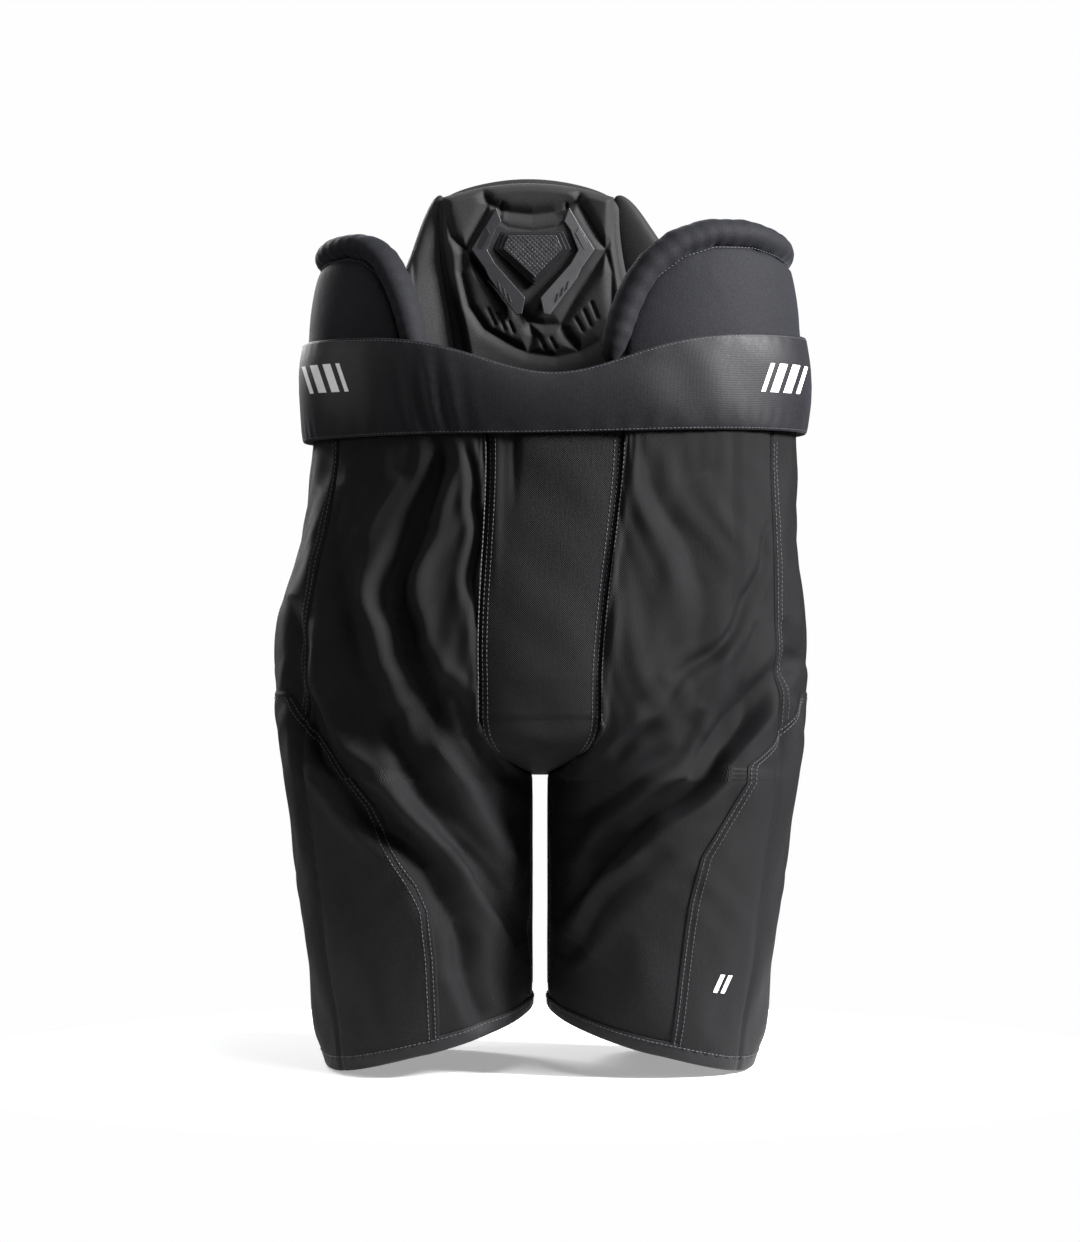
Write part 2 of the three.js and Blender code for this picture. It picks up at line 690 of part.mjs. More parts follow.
for (const { hand, side } of sides) {
  const inner = { from: zipFront, to: innerSeam - seamShare };
  const front = { from: innerSeam + seamShare, to: (level) => capSeam(level) - seamShare };
  const cap = { from: (level) => capSeam(level) + seamShare, to: backSeam - seamShare };
  const back = { from: backSeam + seamShare, to: zipBack };
  bodyPanel(`thigh_inner_panel_${hand}`, "shell", side, { ...legShell, ...inner });
  bodyPanel(`thigh_front_panel_${hand}`, "shell", side, { ...legShell, ...front });
  bodyPanel(`thigh_cap_panel_${hand}`, "shell", side, { ...legShell, ...cap });
  bodyPanel(`thigh_back_panel_${hand}`, "shell", side, { ...legShell, ...back });

  bodyPanel(`leg_hem_${hand}`, "hem", side, {
    from: zipFront,
    to: zipBack,
    bottom: 0,
    top: hemHeight,
    outer: -1,
    thickness: hemThickness,
    rows: 1,
  });

  bodyPanel(`thigh_pad_${hand}`, "foam", side, {
    ...thighPad,
    bottom: hemHeight + 8,
    top: thighPadTop,
    outer: foamInset,
    thickness: foamThickness,
    rows: 6,
  });
  bodyPanel(`thigh_plate_${hand}`, "plate", side, {
    from: thighPad.from + 0.04,
    to: thighPad.to - 0.04,
    bottom: hemHeight + 8 + plateMargin,
    top: thighPadTop - plateMargin,
    outer: plateInset,
    thickness: plateThickness,
    rows: 6,
  });
  bodyPanel(`leg_lining_${hand}`, "lining", side, {
    from: zipFront,
    to: zipBack,
    bottom: 1.5,
    top: legTopHeight - 3,
    outer: liningInset,
    thickness: liningThickness,
    rows: 2,
  });
}

// ---- Inner thigh zips ---------------------------------------------------------------------------
// Each zip lies in a straight line up the leg. Its frame has z along that line and x out of the fabric.
function zipFrame(side) {
  const low = onBody(side, zipRound, zipStartHeight, 0);
  const high = onBody(side, zipRound, legTopHeight, 0);
  const beside = onBody(side, zipRound + tapeShare, zipStartHeight, 0);
  const up = high.clone().sub(low).normalize();
  const across = beside.sub(low);
  across.addScaledVector(up, -across.dot(up)).normalize();
  const out = new THREE.Vector3().crossVectors(across, up);
  if (out.y < 0) out.negate();
  return { low, up, across, out, length: low.distanceTo(high) };
}

const tapeThickness = 1;
for (const { hand, side } of sides) {
  const { low, up, across, out, length } = zipFrame(side);
  const at = (x, y, z) =>
    low
      .clone()
      .addScaledVector(out, x)
      .addScaledVector(across, y)
      .addScaledVector(up, z);
  const block = (name, finish, x, y, z) =>
    add(
      name,
      finish,
      moveEach(new THREE.BoxGeometry(1, 1, 1), (v) =>
        at(lerp(x[0], x[1], v.x + 0.5), lerp(y[0], y[1], v.y + 0.5), lerp(z[0], z[1], v.z + 0.5)),
      ),
    );
  const runUp = length - 4;
  const halfTape = zipTapeWidth / 2 - seamGap;
  const teethTop = zipTeethThickness;
  const tape = [-tapeThickness - contactGap, -contactGap];
  block(`zip_tape_${hand}`, "zip", tape, [-halfTape, halfTape], [-22, runUp]);
  block(`zip_teeth_${hand}`, "zip", [0, teethTop], [-zipTeethWidth / 2, zipTeethWidth / 2], [-20, runUp - 4]);
  const sliderBase = teethTop + contactGap;
  block(
    `zip_slider_${hand}`,
    "slider",
    [sliderBase, sliderBase + sliderThickness],
    [-sliderWidth / 2, sliderWidth / 2],
    [0, sliderLength],
  );
  const pullBase = sliderBase + sliderThickness + 2 * contactGap;
  block(
    `zip_pull_${hand}`,
    "slider",
    [pullBase, pullBase + pullThickness],
    [-pullWidth / 2, pullWidth / 2],
    [sliderLength - 2 - pullLength, sliderLength - 2],
  );
}

export default pants;
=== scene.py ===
"""Ice hockey pants: the looks of every piece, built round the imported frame. Lengths are in millimetres
until a mesh is made, which is in metres."""
import math

import bmesh
import bpy
import numpy as np
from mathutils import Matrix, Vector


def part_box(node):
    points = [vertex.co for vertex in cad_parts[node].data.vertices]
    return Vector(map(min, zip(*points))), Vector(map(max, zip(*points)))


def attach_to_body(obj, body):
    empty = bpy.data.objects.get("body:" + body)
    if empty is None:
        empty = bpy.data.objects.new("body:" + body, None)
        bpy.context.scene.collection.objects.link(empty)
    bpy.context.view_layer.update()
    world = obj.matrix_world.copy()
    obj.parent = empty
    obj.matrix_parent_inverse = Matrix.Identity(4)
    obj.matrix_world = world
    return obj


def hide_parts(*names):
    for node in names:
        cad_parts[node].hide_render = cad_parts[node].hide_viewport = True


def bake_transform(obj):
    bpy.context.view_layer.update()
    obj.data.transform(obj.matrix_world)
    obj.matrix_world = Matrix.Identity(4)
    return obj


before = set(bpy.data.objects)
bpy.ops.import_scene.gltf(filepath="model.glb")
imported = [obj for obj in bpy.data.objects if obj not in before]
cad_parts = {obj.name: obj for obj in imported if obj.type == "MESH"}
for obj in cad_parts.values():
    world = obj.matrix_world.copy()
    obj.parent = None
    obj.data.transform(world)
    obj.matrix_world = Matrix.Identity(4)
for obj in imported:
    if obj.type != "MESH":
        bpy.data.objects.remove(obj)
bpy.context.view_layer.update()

scene = bpy.context.scene
sides = (("left", 1), ("right", -1))

# ---- Camera -------------------------------------------------------------------------------------
# A long lens, level with the middle of the pants and straight in front of them.
camera = bpy.data.objects.new("camera", bpy.data.cameras.new("camera"))
scene.collection.objects.link(camera)
camera.location = (0, -3.0, 0.33075)
camera.rotation_euler = (math.pi / 2, 0, 0)
camera.data.sensor_fit = "VERTICAL"
camera.data.sensor_height = 36
camera.data.lens = 115.9
scene.camera = camera


# ---- Light and floor ----------------------------------------------------------------------------
# A pale studio: a strong soft box high on the wearer's left, weaker ones above, on the right and behind, a
# little light from all round, and a small pale floor.
def soft_box(name, place, size, power, aim=(0, 0, 0.34)):
    lamp = bpy.data.objects.new(name, bpy.data.lights.new(name, "AREA"))
    scene.collection.objects.link(lamp)
    lamp.data.size = size
    lamp.data.energy = power
    lamp.location = place
    away = lamp.location.__class__([p - a for p, a in zip(place, aim)])
    lamp.rotation_euler = away.to_track_quat("Z", "Y").to_euler()


soft_box("key_light", (1.9, -0.75, 1.35), 0.6, 245, aim=(0.12, 0, 0.5))
soft_box("top_light", (0.5, -0.9, 2.1), 0.8, 24)
soft_box("side_light", (-2.0, -0.3, 1.0), 0.7, 14)
soft_box("back_light", (-1.2, 2.1, 1.4), 1.0, 60)

scene.view_settings.view_transform = "Standard"
scene.world = bpy.data.worlds.new("studio")
scene.world.use_nodes = True
scene.world.node_tree.nodes["Background"].inputs["Color"].default_value = (1, 1, 1, 1)


class Wire:
    """A socket of a shader. Sums of wires and numbers are written as Python expressions, and any other
    node comes from make: its type, its settings, and the values or wires of its sockets."""

    def __init__(self, tree, socket=None):
        self.tree, self.socket = tree, socket

    def make(self, kind, settings=None, inputs=None, out=0):
        node = self.tree.nodes.new(kind)
        for name, value in (settings or {}).items():
            if name == "stops":
                stops = node.color_ramp.elements
                while len(stops) < len(value):
                    stops.new(0.5)
                for stop, (place, shade) in zip(stops, value):
                    stop.position, stop.color = place, shade
            else:
                setattr(node, name, value)
        for name, value in (inputs or {}).items():
            if isinstance(value, Wire):
                self.tree.links.new(value.socket, node.inputs[name])
            else:
                node.inputs[name].default_value = value
        return Wire(self.tree, node.outputs[out])

    def _math(self, operation, first, second=0.0):
        return self.make("ShaderNodeMath", {"operation": operation}, {0: first, 1: second})

    def __add__(self, other): return self._math("ADD", self, other)
    def __radd__(self, other): return self._math("ADD", other, self)
    def __sub__(self, other): return self._math("SUBTRACT", self, other)
    def __rsub__(self, other): return self._math("SUBTRACT", other, self)
    def __mul__(self, other): return self._math("MULTIPLY", self, other)
    def __rmul__(self, other): return self._math("MULTIPLY", other, self)
    def __truediv__(self, other): return self._math("DIVIDE", self, other)
    def __gt__(self, other): return self._math("GREATER_THAN", self, other)
    def __pow__(self, other): return self._math("POWER", self, other)

    def sine(self): return self._math("SINE", self)
    def size(self): return self._math("ABSOLUTE", self)
    def least(self, other): return self._math("MINIMUM", self, other)
    def most(self, other): return self._math("MAXIMUM", self, other)

    def part(self, axis):
        return self.make("ShaderNodeSeparateXYZ", None, {0: self}, out=axis)

    def tint(self, dark, light):
        """The colour between dark and light that this wire, from 0 to 1, picks."""
        return self.make("ShaderNodeMix", {"data_type": "RGBA"},
                         {0: self, 6: (*dark, 1), 7: (*light, 1)}, out=2)

    def noise(self, scale, detail=3.0, roughness=0.55):
        return self.make("ShaderNodeTexNoise", None,
                         {"Vector": self, "Scale": scale, "Detail": detail, "Roughness": roughness})


# The studio's walls are white to look at, and light the pants less than that.
walls = Wire(scene.world.node_tree)
seen = walls.make("ShaderNodeLightPath", None, None, out="Is Camera Ray")
background = scene.world.node_tree.nodes["Background"]
scene.world.node_tree.links.new((seen * 0.90 + 0.09).socket, background.inputs["Strength"])


def finish(name, fixed, paint):
    """A material. fixed holds the constant sockets, and paint(object place, surface place) returns the
    varying ones; its "Bump" is (height in metres, strength)."""
    made = bpy.data.materials.new(name)
    made.use_nodes = True
    tree = made.node_tree
    shader = tree.nodes["Principled BSDF"]
    for socket, value in fixed.items():
        shader.inputs[socket].default_value = value
    start = Wire(tree)
    place = start.make("ShaderNodeTexCoord", None, None, out="Object")
    surface = start.make("ShaderNodeUVMap", {"uv_map": "cloth"}, None)
    for socket, value in paint(place, surface).items():
        if socket == "Bump":
            height, strength = value
            value = start.make("ShaderNodeBump", None,
                               {"Height": height, "Strength": strength, "Distance": 1.0})
            socket = "Normal"
        tree.links.new(value.socket, shader.inputs[socket])
    return made


def grid_mesh(name, points, material, loop_across=False, loop_up=False, centre=(0, 0, 300)):
    """A mesh from a grid of points (up, across, xyz), smooth, with its faces away from centre and a map
    named cloth that holds lengths along the surface in metres."""
    points = np.asarray(points, float)
    ups, acrosses = points.shape[:2]
    numbers = np.arange(ups * acrosses).reshape(ups, acrosses)
    if loop_across:
        numbers = np.concatenate([numbers, numbers[:, :1]], 1)
    if loop_up:
        numbers = np.concatenate([numbers, numbers[:1]], 0)
    faces = np.stack([numbers[:-1, :-1], numbers[:-1, 1:], numbers[1:, 1:], numbers[1:, :-1]],
                     -1).reshape(-1, 4)
    flat = points.reshape(-1, 3)
    a, b, c, d = (flat[faces[:, k]] for k in range(4))
    out = np.einsum("ij,ij->i", np.cross(c - a, d - b), (a + c) / 2 - np.asarray(centre, float)).sum()
    row, column = points[ups // 2], points[:, acrosses // 2]
    along = np.concatenate([[0], np.cumsum(np.linalg.norm(np.diff(row, axis=0), axis=1))])
    along = np.append(along, along[-1] + np.linalg.norm(row[0] - row[-1])) if loop_across else along
    rise = np.concatenate([[0], np.cumsum(np.linalg.norm(np.diff(column, axis=0), axis=1))])
    rise = np.append(rise, rise[-1] + np.linalg.norm(column[0] - column[-1])) if loop_up else rise
    u, v = np.meshgrid(along, rise)
    corner = [(slice(0, -1), slice(0, -1)), (slice(0, -1), slice(1, None)),
              (slice(1, None), slice(1, None)), (slice(1, None), slice(0, -1))]
    maps = np.stack([np.stack([u[k], v[k]], -1).reshape(-1, 2) for k in corner], 1) / 1000
    if out < 0:
        faces, maps = faces[:, ::-1], maps[:, ::-1]
    mesh = bpy.data.meshes.new(name)
    mesh.vertices.add(len(flat))
    mesh.vertices.foreach_set("co", (flat / 1000).ravel())
    mesh.loops.add(faces.size)
    mesh.loops.foreach_set("vertex_index", faces.ravel().astype(np.int32))
    mesh.polygons.add(len(faces))
    mesh.polygons.foreach_set("loop_start", np.arange(0, faces.size, 4, dtype=np.int32))
    mesh.update(calc_edges=True)
    mesh.uv_layers.new(name="cloth").data.foreach_set("uv", maps.ravel())
    mesh.polygons.foreach_set("use_smooth", np.ones(len(faces), bool))
    mesh.validate()
    mesh.materials.append(material)
    piece = bpy.data.objects.new(name, mesh)
    scene.collection.objects.link(piece)
    return piece


def thicken(piece, thickness, offset=-1.0, rim=True):
    """Gives a sheet its thickness, in millimetres, inwards unless offset says otherwise."""
    wall = piece.modifiers.new("thickness", "SOLIDIFY")
    wall.thickness, wall.offset, wall.use_rim = thickness / 1000, offset, rim
    return piece


floor_paint = finish("studio_floor",
                     {"Roughness": 0.9, "Specular IOR Level": 0.1, "Emission Strength": 0.34,
                                      "Emission Color": (1, 1, 1, 1)}, lambda place, surface: {
    "Base Color": place.noise(3.0).tint((0.86, 0.86, 0.87), (0.89, 0.89, 0.89))})
reach, turn = np.meshgrid(np.array([0.001, 0.12, 0.25, 0.36, 0.46]) * 1000,
                          np.linspace(0, 2 * np.pi, 64, endpoint=False),
                          indexing="ij")
studio_floor = grid_mesh("studio_floor",
                         np.stack([reach * np.cos(turn), reach * np.sin(turn), 0 * turn - 1.0], -1),
                         floor_paint, loop_across=True, centre=(0, 0, -900))


# ---- Nylon shell --------------------------------------------------------------------------------
# Tough woven nylon, cut in long panels from the waist to the hem and sewn edge to edge, with twin rows of
# topstitching. Worn loose over the pads, it hangs in long diagonal folds from the hips to the inner thighs.
hem_half, leg_top_half, hip_half, waist_half = 160.0, 188.0, 199.0, 181.0
round_leg = 330  # of half the way round a leg, which is 1 in the measure called across
front_depths, back_depths = (106.0, 116.0, 125.0, 112.0), (104.0, 118.0, 125.0, 114.0)
leg_top, crotch, hip, waist = 190.0, 217.0, 290.0, 467.0
inner_edge = 0.978
sway = 11.0  # the waist stands this far to the wearer's left of the hems


def smooth(value, low, high):
    """0 below low, 1 above high, and an eased curve between."""
    t = np.clip((value - low) / (high - low), 0, 1)
    return t * t * (3 - 2 * t)


def profile(z, sizes):
    """Straight from hem to leg top to hip, then an eased curve to the waist."""
    hem, top, hips, waists = sizes
    low = hem + (top - hem) * z / leg_top
    middle = top + (hips - top) * (z - leg_top) / (hip - leg_top)
    high = hips + (waists - hips) * smooth(z, hip, waist)
    return np.where(z < leg_top, low, np.where(z < hip, middle, high))


def half_width(z):
    return profile(z, (hem_half, leg_top_half, hip_half, waist_half))


def oval(angle, width, front, back, roundness):
    """A rounded oval: each of cosine and sine is raised to roundness, which keeps its sign."""
    c, s = np.cos(angle), np.sin(angle)
    x = np.sign(c) * np.abs(c) ** roundness * width
    y = np.sign(s) * np.abs(s) ** roundness * np.where(s < 0, front, back)
    return x, y


def fly_half(z):
    return 44 + 6 * np.clip((z - hip) / (waist - hip), 0, 1)


def strip_angle(z):
    """The trunk angle at which the fly or the seat strip begins."""
    return np.arccos((fly_half(z) / half_width(z)) ** (1 / 0.83))


def body(side, across, level, inset=0.0):
    """The bare form of one half. across is 0 on the outside, -1 inside the thigh in front and 1 behind. A
    leg oval turns into the trunk oval above the crotch, soonest at the edge beside the fly, where the seam
    makes a U, and the hems rise towards the inside."""
    across, level = np.broadcast_arrays(np.asarray(across, float), np.asarray(level, float))
    turn = np.abs(across) * 180
    rise = 42 * np.where(across < 0, smooth(turn, 25, 180), smooth(turn, 70, 180))
    z = np.where(level < leg_top, level + rise * (1 - level / leg_top), level)
    front, back = profile(z, front_depths) - inset, profile(z, back_depths) - inset
    outside = half_width(z)
    leg_x, leg_y = oval(across * np.pi, (outside - 6) / 2 - inset, front, back, 0.9)
    leg_x = leg_x + (outside + 6) / 2
    share = np.minimum(np.abs(across) / inner_edge, 1)
    angle = np.sign(across) * (1 - (1 - share) ** 1.9) * strip_angle(z)
    trunk_x, trunk_y = oval(angle, outside - inset, front, back, 0.83)
    blend_top = hip + (crotch + 46 - hip) * share ** 2
    rise = np.clip((z - crotch) / (blend_top - crotch), 0, 1)
    near = share ** 5
    part = (1 - near) * smooth(rise, 0, 1) + near * (1 - (1 - rise) ** 2.6)
    x = leg_x + (trunk_x - leg_x) * part
    y = leg_y + (trunk_y - leg_y) * (1 - (1 - rise) ** (3 + 1.5 * near))
    return np.stack([side * x + sway * smooth(z, hip, waist), y, z], -1)


def beside(x, z, line):
    """How far points lie from a line of corners, on which side of it, and the share of the way along."""
    line = np.asarray(line, float)
    lengths = np.linalg.norm(np.diff(line, axis=0), axis=1)
    whole = lengths.sum()
    nearest, hand, along = np.full(x.shape, 1e9), np.ones(x.shape), np.zeros(x.shape)
    passed = 0.0
    for (x0, z0), (x1, z1), length in zip(line[:-1], line[1:], lengths):
        t = np.clip(((x - x0) * (x1 - x0) + (z - z0) * (z1 - z0)) / length**2, 0, 1)
        dx, dz = x - x0 - t * (x1 - x0), z - z0 - t * (z1 - z0)
        away = np.hypot(dx, dz)
        closer = away < nearest
        nearest = np.where(closer, away, nearest)
        hand = np.where(closer, np.sign((x1 - x0) * dz - (z1 - z0) * dx), hand)
        along = np.where(closer, (passed + t * length) / whole, along)
        passed += length
    return nearest, hand, along


# Each fold: its corners seen from in front or behind, its width, and how far it stands out (or in, below 0).
front_folds = [
    ([(-66, 470), (-80, 430), (-92, 390), (-103, 342), (-99, 311), (-85, 278), (-70, 240)], 10, -13),
    ([(-104, 440), (-118, 394), (-122, 342), (-108, 300), (-100, 268)], 13, 6),
    ([(-145, 430), (-146, 368), (-136, 318), (-120, 285)], 11, -4),
    ([(-186, 345), (-176, 281), (-152, 229), (-117, 194), (-82, 155), (-62, 105), (-56, 70)], 11, -9),
    ([(-170, 330), (-150, 262), (-118, 222), (-80, 182), (-52, 140)], 10, 5),
    ([(-112, 275), (-87, 215), (-65, 176), (-35, 132), (-12, 98)], 10, -8),
    ([(-84, 262), (-62, 220), (-32, 176), (-8, 140)], 9, 5),
    ([(-74, 290), (-52, 255), (-26, 224), (-4, 203)], 8, -5),
    ([(-74, 181), (-43, 138), (-17, 103), (-10, 80)], 7, -6),
    ([(-65, 112), (-48, 64), (-36, 20)], 8, -5),
    ([(-54, 468), (-50, 428), (-46, 368), (-44, 320)], 5, -5),
    ([(72, 468), (82, 428), (100, 394), (115, 359), (112, 316), (96, 290)], 12, -4),
    ([(120, 440), (138, 396), (150, 350)], 16, 3),
    ([(171, 402), (152, 355), (126, 311), (104, 290), (74, 248), (48, 233)], 6, -4),
    ([(176, 330), (182, 300), (186, 270)], 8, -4),
    ([(152, 329), (146, 281), (128, 250)], 9, -4),
    ([(118, 268), (100, 240), (65, 213), (26, 185)], 9, -5),
    ([(110, 290), (84, 262), (50, 245), (22, 215)], 8, 4),
    ([(14, 84), (40, 112), (66, 138), (92, 166)], 9, -5),
    ([(20, 150), (50, 172), (84, 200)], 10, 3),
]
flap_folds = [
    ([(192, 300), (178, 284), (161, 263), (130, 230), (95, 192), (61, 155), (34, 126), (16, 104)], 14, 16),
    ([(-190, 300), (-176, 262), (-150, 212), (-124, 184), (-98, 160)], 9, 3),
]
back_folds = [
    ([(-165, 318), (-120, 268), (-74, 246), (-26, 238)], 11, -7),
    ([(168, 326), (118, 272), (70, 248), (24, 240)], 11, -7),
    ([(-176, 262), (-128, 208), (-84, 160), (-40, 118)], 12, -6),
    ([(172, 270), (132, 200), (90, 150), (46, 104)], 12, -7),
    ([(-128, 440), (-116, 382), (-122, 330), (-104, 292)], 12, -6),
    ([(124, 446), (118, 392), (106, 344), (112, 300)], 12, -6),
    ([(-86, 456), (-78, 412), (-84, 372)], 9, -4),
    ([(78, 458), (84, 420), (76, 380)], 9, -4),
    ([(-150, 120), (-112, 84), (-84, 40)], 12, -4),
    ([(140, 130), (108, 92), (92, 36)], 12, -4),
    ([(-160, 232), (-118, 226), (-70, 208)], 12, 4),
    ([(160, 240), (112, 230), (66, 206)], 12, 4),
]


def folds(x, y, z, across):
    """How far the worn cloth stands out: a bell across each fold with a low bank on both sides, a lip that
    overhangs where the flap folds run, gathers below the waist, and slow uneven fullness everywhere."""
    out = np.zeros(x.shape)
    bend_x = x + 3.5 * np.sin(z / 23 + x / 61) + 1.6 * np.sin(z / 9.1 + y / 17)
    bend_z = z + 3.0 * np.sin(x / 19 + 1.3) + 1.4 * np.sin(x / 7.7 + z / 31)
    for listed, facing in ((front_folds, smooth(-y, -70, -10)), (back_folds, smooth(y, -70, -10))):
        for line, width, height in listed:
            away, _, along = beside(bend_x, bend_z, line)
            ends = np.sin(np.pi * np.clip(along, 0.0, 1.0)) ** 0.5
            wide = width * (0.62 + 0.45 * along)
            bell = np.exp(-((away / wide) ** 1.45)) - 0.34 * np.exp(-(((away - 1.9 * wide) / (0.9
                * wide)) ** 2))
            out += facing * ends * height * bell
    for line, width, height in flap_folds:
        away, hand, along = beside(bend_x, bend_z, line)
        signed = -away * hand * (1 if line[0][0] > 0 else -1)
        lip = height * np.exp(-np.maximum(-signed, 0) / (2.2 * width)) * smooth(-signed, -0.35 * width,
            0.45 * width)
        dip = -0.7 * height * np.exp(-(((signed - 0.75 * width) / (0.6 * width)) ** 2))
        out += smooth(-y, -60, 0) * np.sin(np.pi * np.clip(along, 0, 1)) ** 0.6 * (lip + dip)
    girth = across * round_leg
    out += 0.5 * np.sin(girth / 4.7 + 3.2 * np.sin(girth / 23)) * np.exp(-np.maximum(458 - z, 0) / 12)
    out += 1.1 * np.sin(girth / 21 + z / 37 + 2 * np.sin(z / 53)) + 0.8 * np.sin(z / 17 - girth / 33
        + np.sin(girth / 13))
    out += 0.35 * np.sin(girth / 6.3 + z / 8.9 + 2 * np.sin(z / 21)) * np.sin(z / 29 + girth / 41)
    return out


front_seam, back_seam = -0.23, 0.36


def seam_gap(across, level):
    """Millimetres round the body to the nearest long seam, and to the edge sewn to the fly or the seat."""
    to_side = np.minimum(np.abs(across - front_seam), np.abs(across - back_seam)) * 330
    to_edge = np.abs(edge_at(level) - np.abs(across)) * 330
    return to_side, to_edge


def edge_at(level):
    """How far round the panels reach: to the inseam on the legs, and to the fly's edge above the crotch."""
    return 1 - (1 - inner_edge) * smooth(level, 196, 232)


def cloth(side, across, level, lift=0.0):
    """The worn shell: the bare form moved along its own normal by the folds, by the fullness between the
    seams, by the dimple along each seam, and by lift."""
    across, level = np.broadcast_arrays(np.asarray(across, float), np.asarray(level, float))
    here = body(side, across, level)
    round_step = body(side, across + 0.002, level) - body(side, across - 0.002, level)
    up_step = body(side, across, level + 0.5) - body(side, across, level - 0.5)
    normal = np.cross(round_step, up_step) * side
    normal /= np.linalg.norm(normal, axis=-1, keepdims=True) + 1e-9
    to_side, to_edge = seam_gap(across, level)
    held = smooth(to_edge, 0, 26) * (0.45 + 0.55 * smooth(to_side, 0, 16))
    held = held * smooth(level, -6, 26) * (0.35 + 0.65 * smooth(waist - level, 0, 30))
    out = folds(here[..., 0], here[..., 1], here[..., 2], across) * held
    out += 1.6 * (1 - np.exp(-np.minimum(to_side, to_edge) / 9)) * smooth(level, 0, 30)
    out = np.maximum(1.25 * out + 1.8 * smooth(-here[..., 1], 20, 80), -5.0)
    out -= 3.0 * np.exp(-((across / 0.26) ** 2)) * smooth(level, 60, 250)
    out += -1.5 * np.exp(-((to_side / 2.4) ** 2)) - 1.2 * np.exp(-((to_edge / 2.4) ** 2))
    inner_leg = smooth(np.abs(across), 0.72, 1) * (1 - smooth(here[..., 2], 215, 260))
    out = out * (1 - 0.7 * inner_leg)
    return here + normal * (out + lift)[..., None]


def nylon(place, surface):
    """Plain oxford weave: threads over and under each other, a little uneven, with faint rubbed patches."""
    u, v = surface.part(0), surface.part(1)
    pitch = 0.0015
    drift = place.noise(38.0, 2.0) * 0.0011
    over = ((u + drift) * (2 * math.pi / pitch)).sine()
    under = ((v + drift) * (2 * math.pi / pitch)).sine()
    weave = over * under * 0.5 + 0.5
    slub = surface.make("ShaderNodeMapping", None, {"Vector": surface, "Scale": (900, 90, 1)}).noise(1.0,
        2.0)
    worn = place.noise(9.0, 4.0, 0.6)
    fine = place.noise(600.0, 2.0)
    shade = (weave * 0.7 + slub * 0.5 + worn * 0.4 - 0.4)
    return {
        "Base Color": shade.tint((0.0004, 0.0004, 0.0005), (0.0072, 0.0073, 0.0084)),
        "Roughness": 0.56 + worn * 0.12 + fine * 0.12 - weave * 0.06,
        "Bump": (weave * 0.00042 + slub * 0.00034 + fine * 0.00016 + worn * 0.0005, 0.75),
    }


shell_paint = finish("shell_nylon",
                     {"Specular IOR Level": 0.12, "Sheen Weight": 0.01, "Sheen Roughness": 0.4,
                                     "Sheen Tint": (0.80, 0.82, 0.92, 1)}, nylon)

hip_start, hip_end = (0.066, 0, 0.262), (0.097, 0, 0.163)


def bend(piece, side):
    """Cloth over a hip: bakes its placement into its points. The leg's name and the slanting line by the
    crotch are worked out but not used.
    """
    f"leg_{'left' if side > 0 else 'right'}"
    side * hip_start[0]
    side * hip_end[0]
    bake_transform(piece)


def spread(length, step):
    """Steps from 0 to 1 for a length, closer near both ends: t - 0.09 sin(2 pi t)."""
    t = np.linspace(0, 1, max(int(length / step), 8))
    return t - 0.09 * np.sin(2 * np.pi * t)


levels = np.linspace(3.0, waist + 7, 193)
panel_nodes = {
    "front": ("front_panel", "thigh_front_panel", "hip_fabric", "thigh_inner_panel"),
    "side": ("side_panel", "thigh_cap_panel"),
    "back": ("back_panel", "thigh_back_panel"),
}
# Each panel's cloth map holds lengths in metres taken from the modelled cloth; they are not a measured cut.
for hand, side in sides:
    for part, (start, stop) in {"front": (-1, front_seam), "side": (front_seam, back_seam),
                                "back": (back_seam, 1)}.items():
        columns = spread(abs(stop - start) * round_leg, 2.5)
        level, share = np.meshgrid(levels, columns, indexing="ij")
        first = np.where(start == -1, -edge_at(level), start)
        last = np.where(stop == 1, edge_at(level), stop)
        panel = grid_mesh(f"shell_{part}_{hand}", cloth(side, first + (last - first) * share, level),
                          shell_paint,
                          centre=(side * 80, 0, 250))
        thicken(panel, 1.5)
        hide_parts(*[f"{node}_{hand}" for node in panel_nodes[part]])
        bend(panel, side)


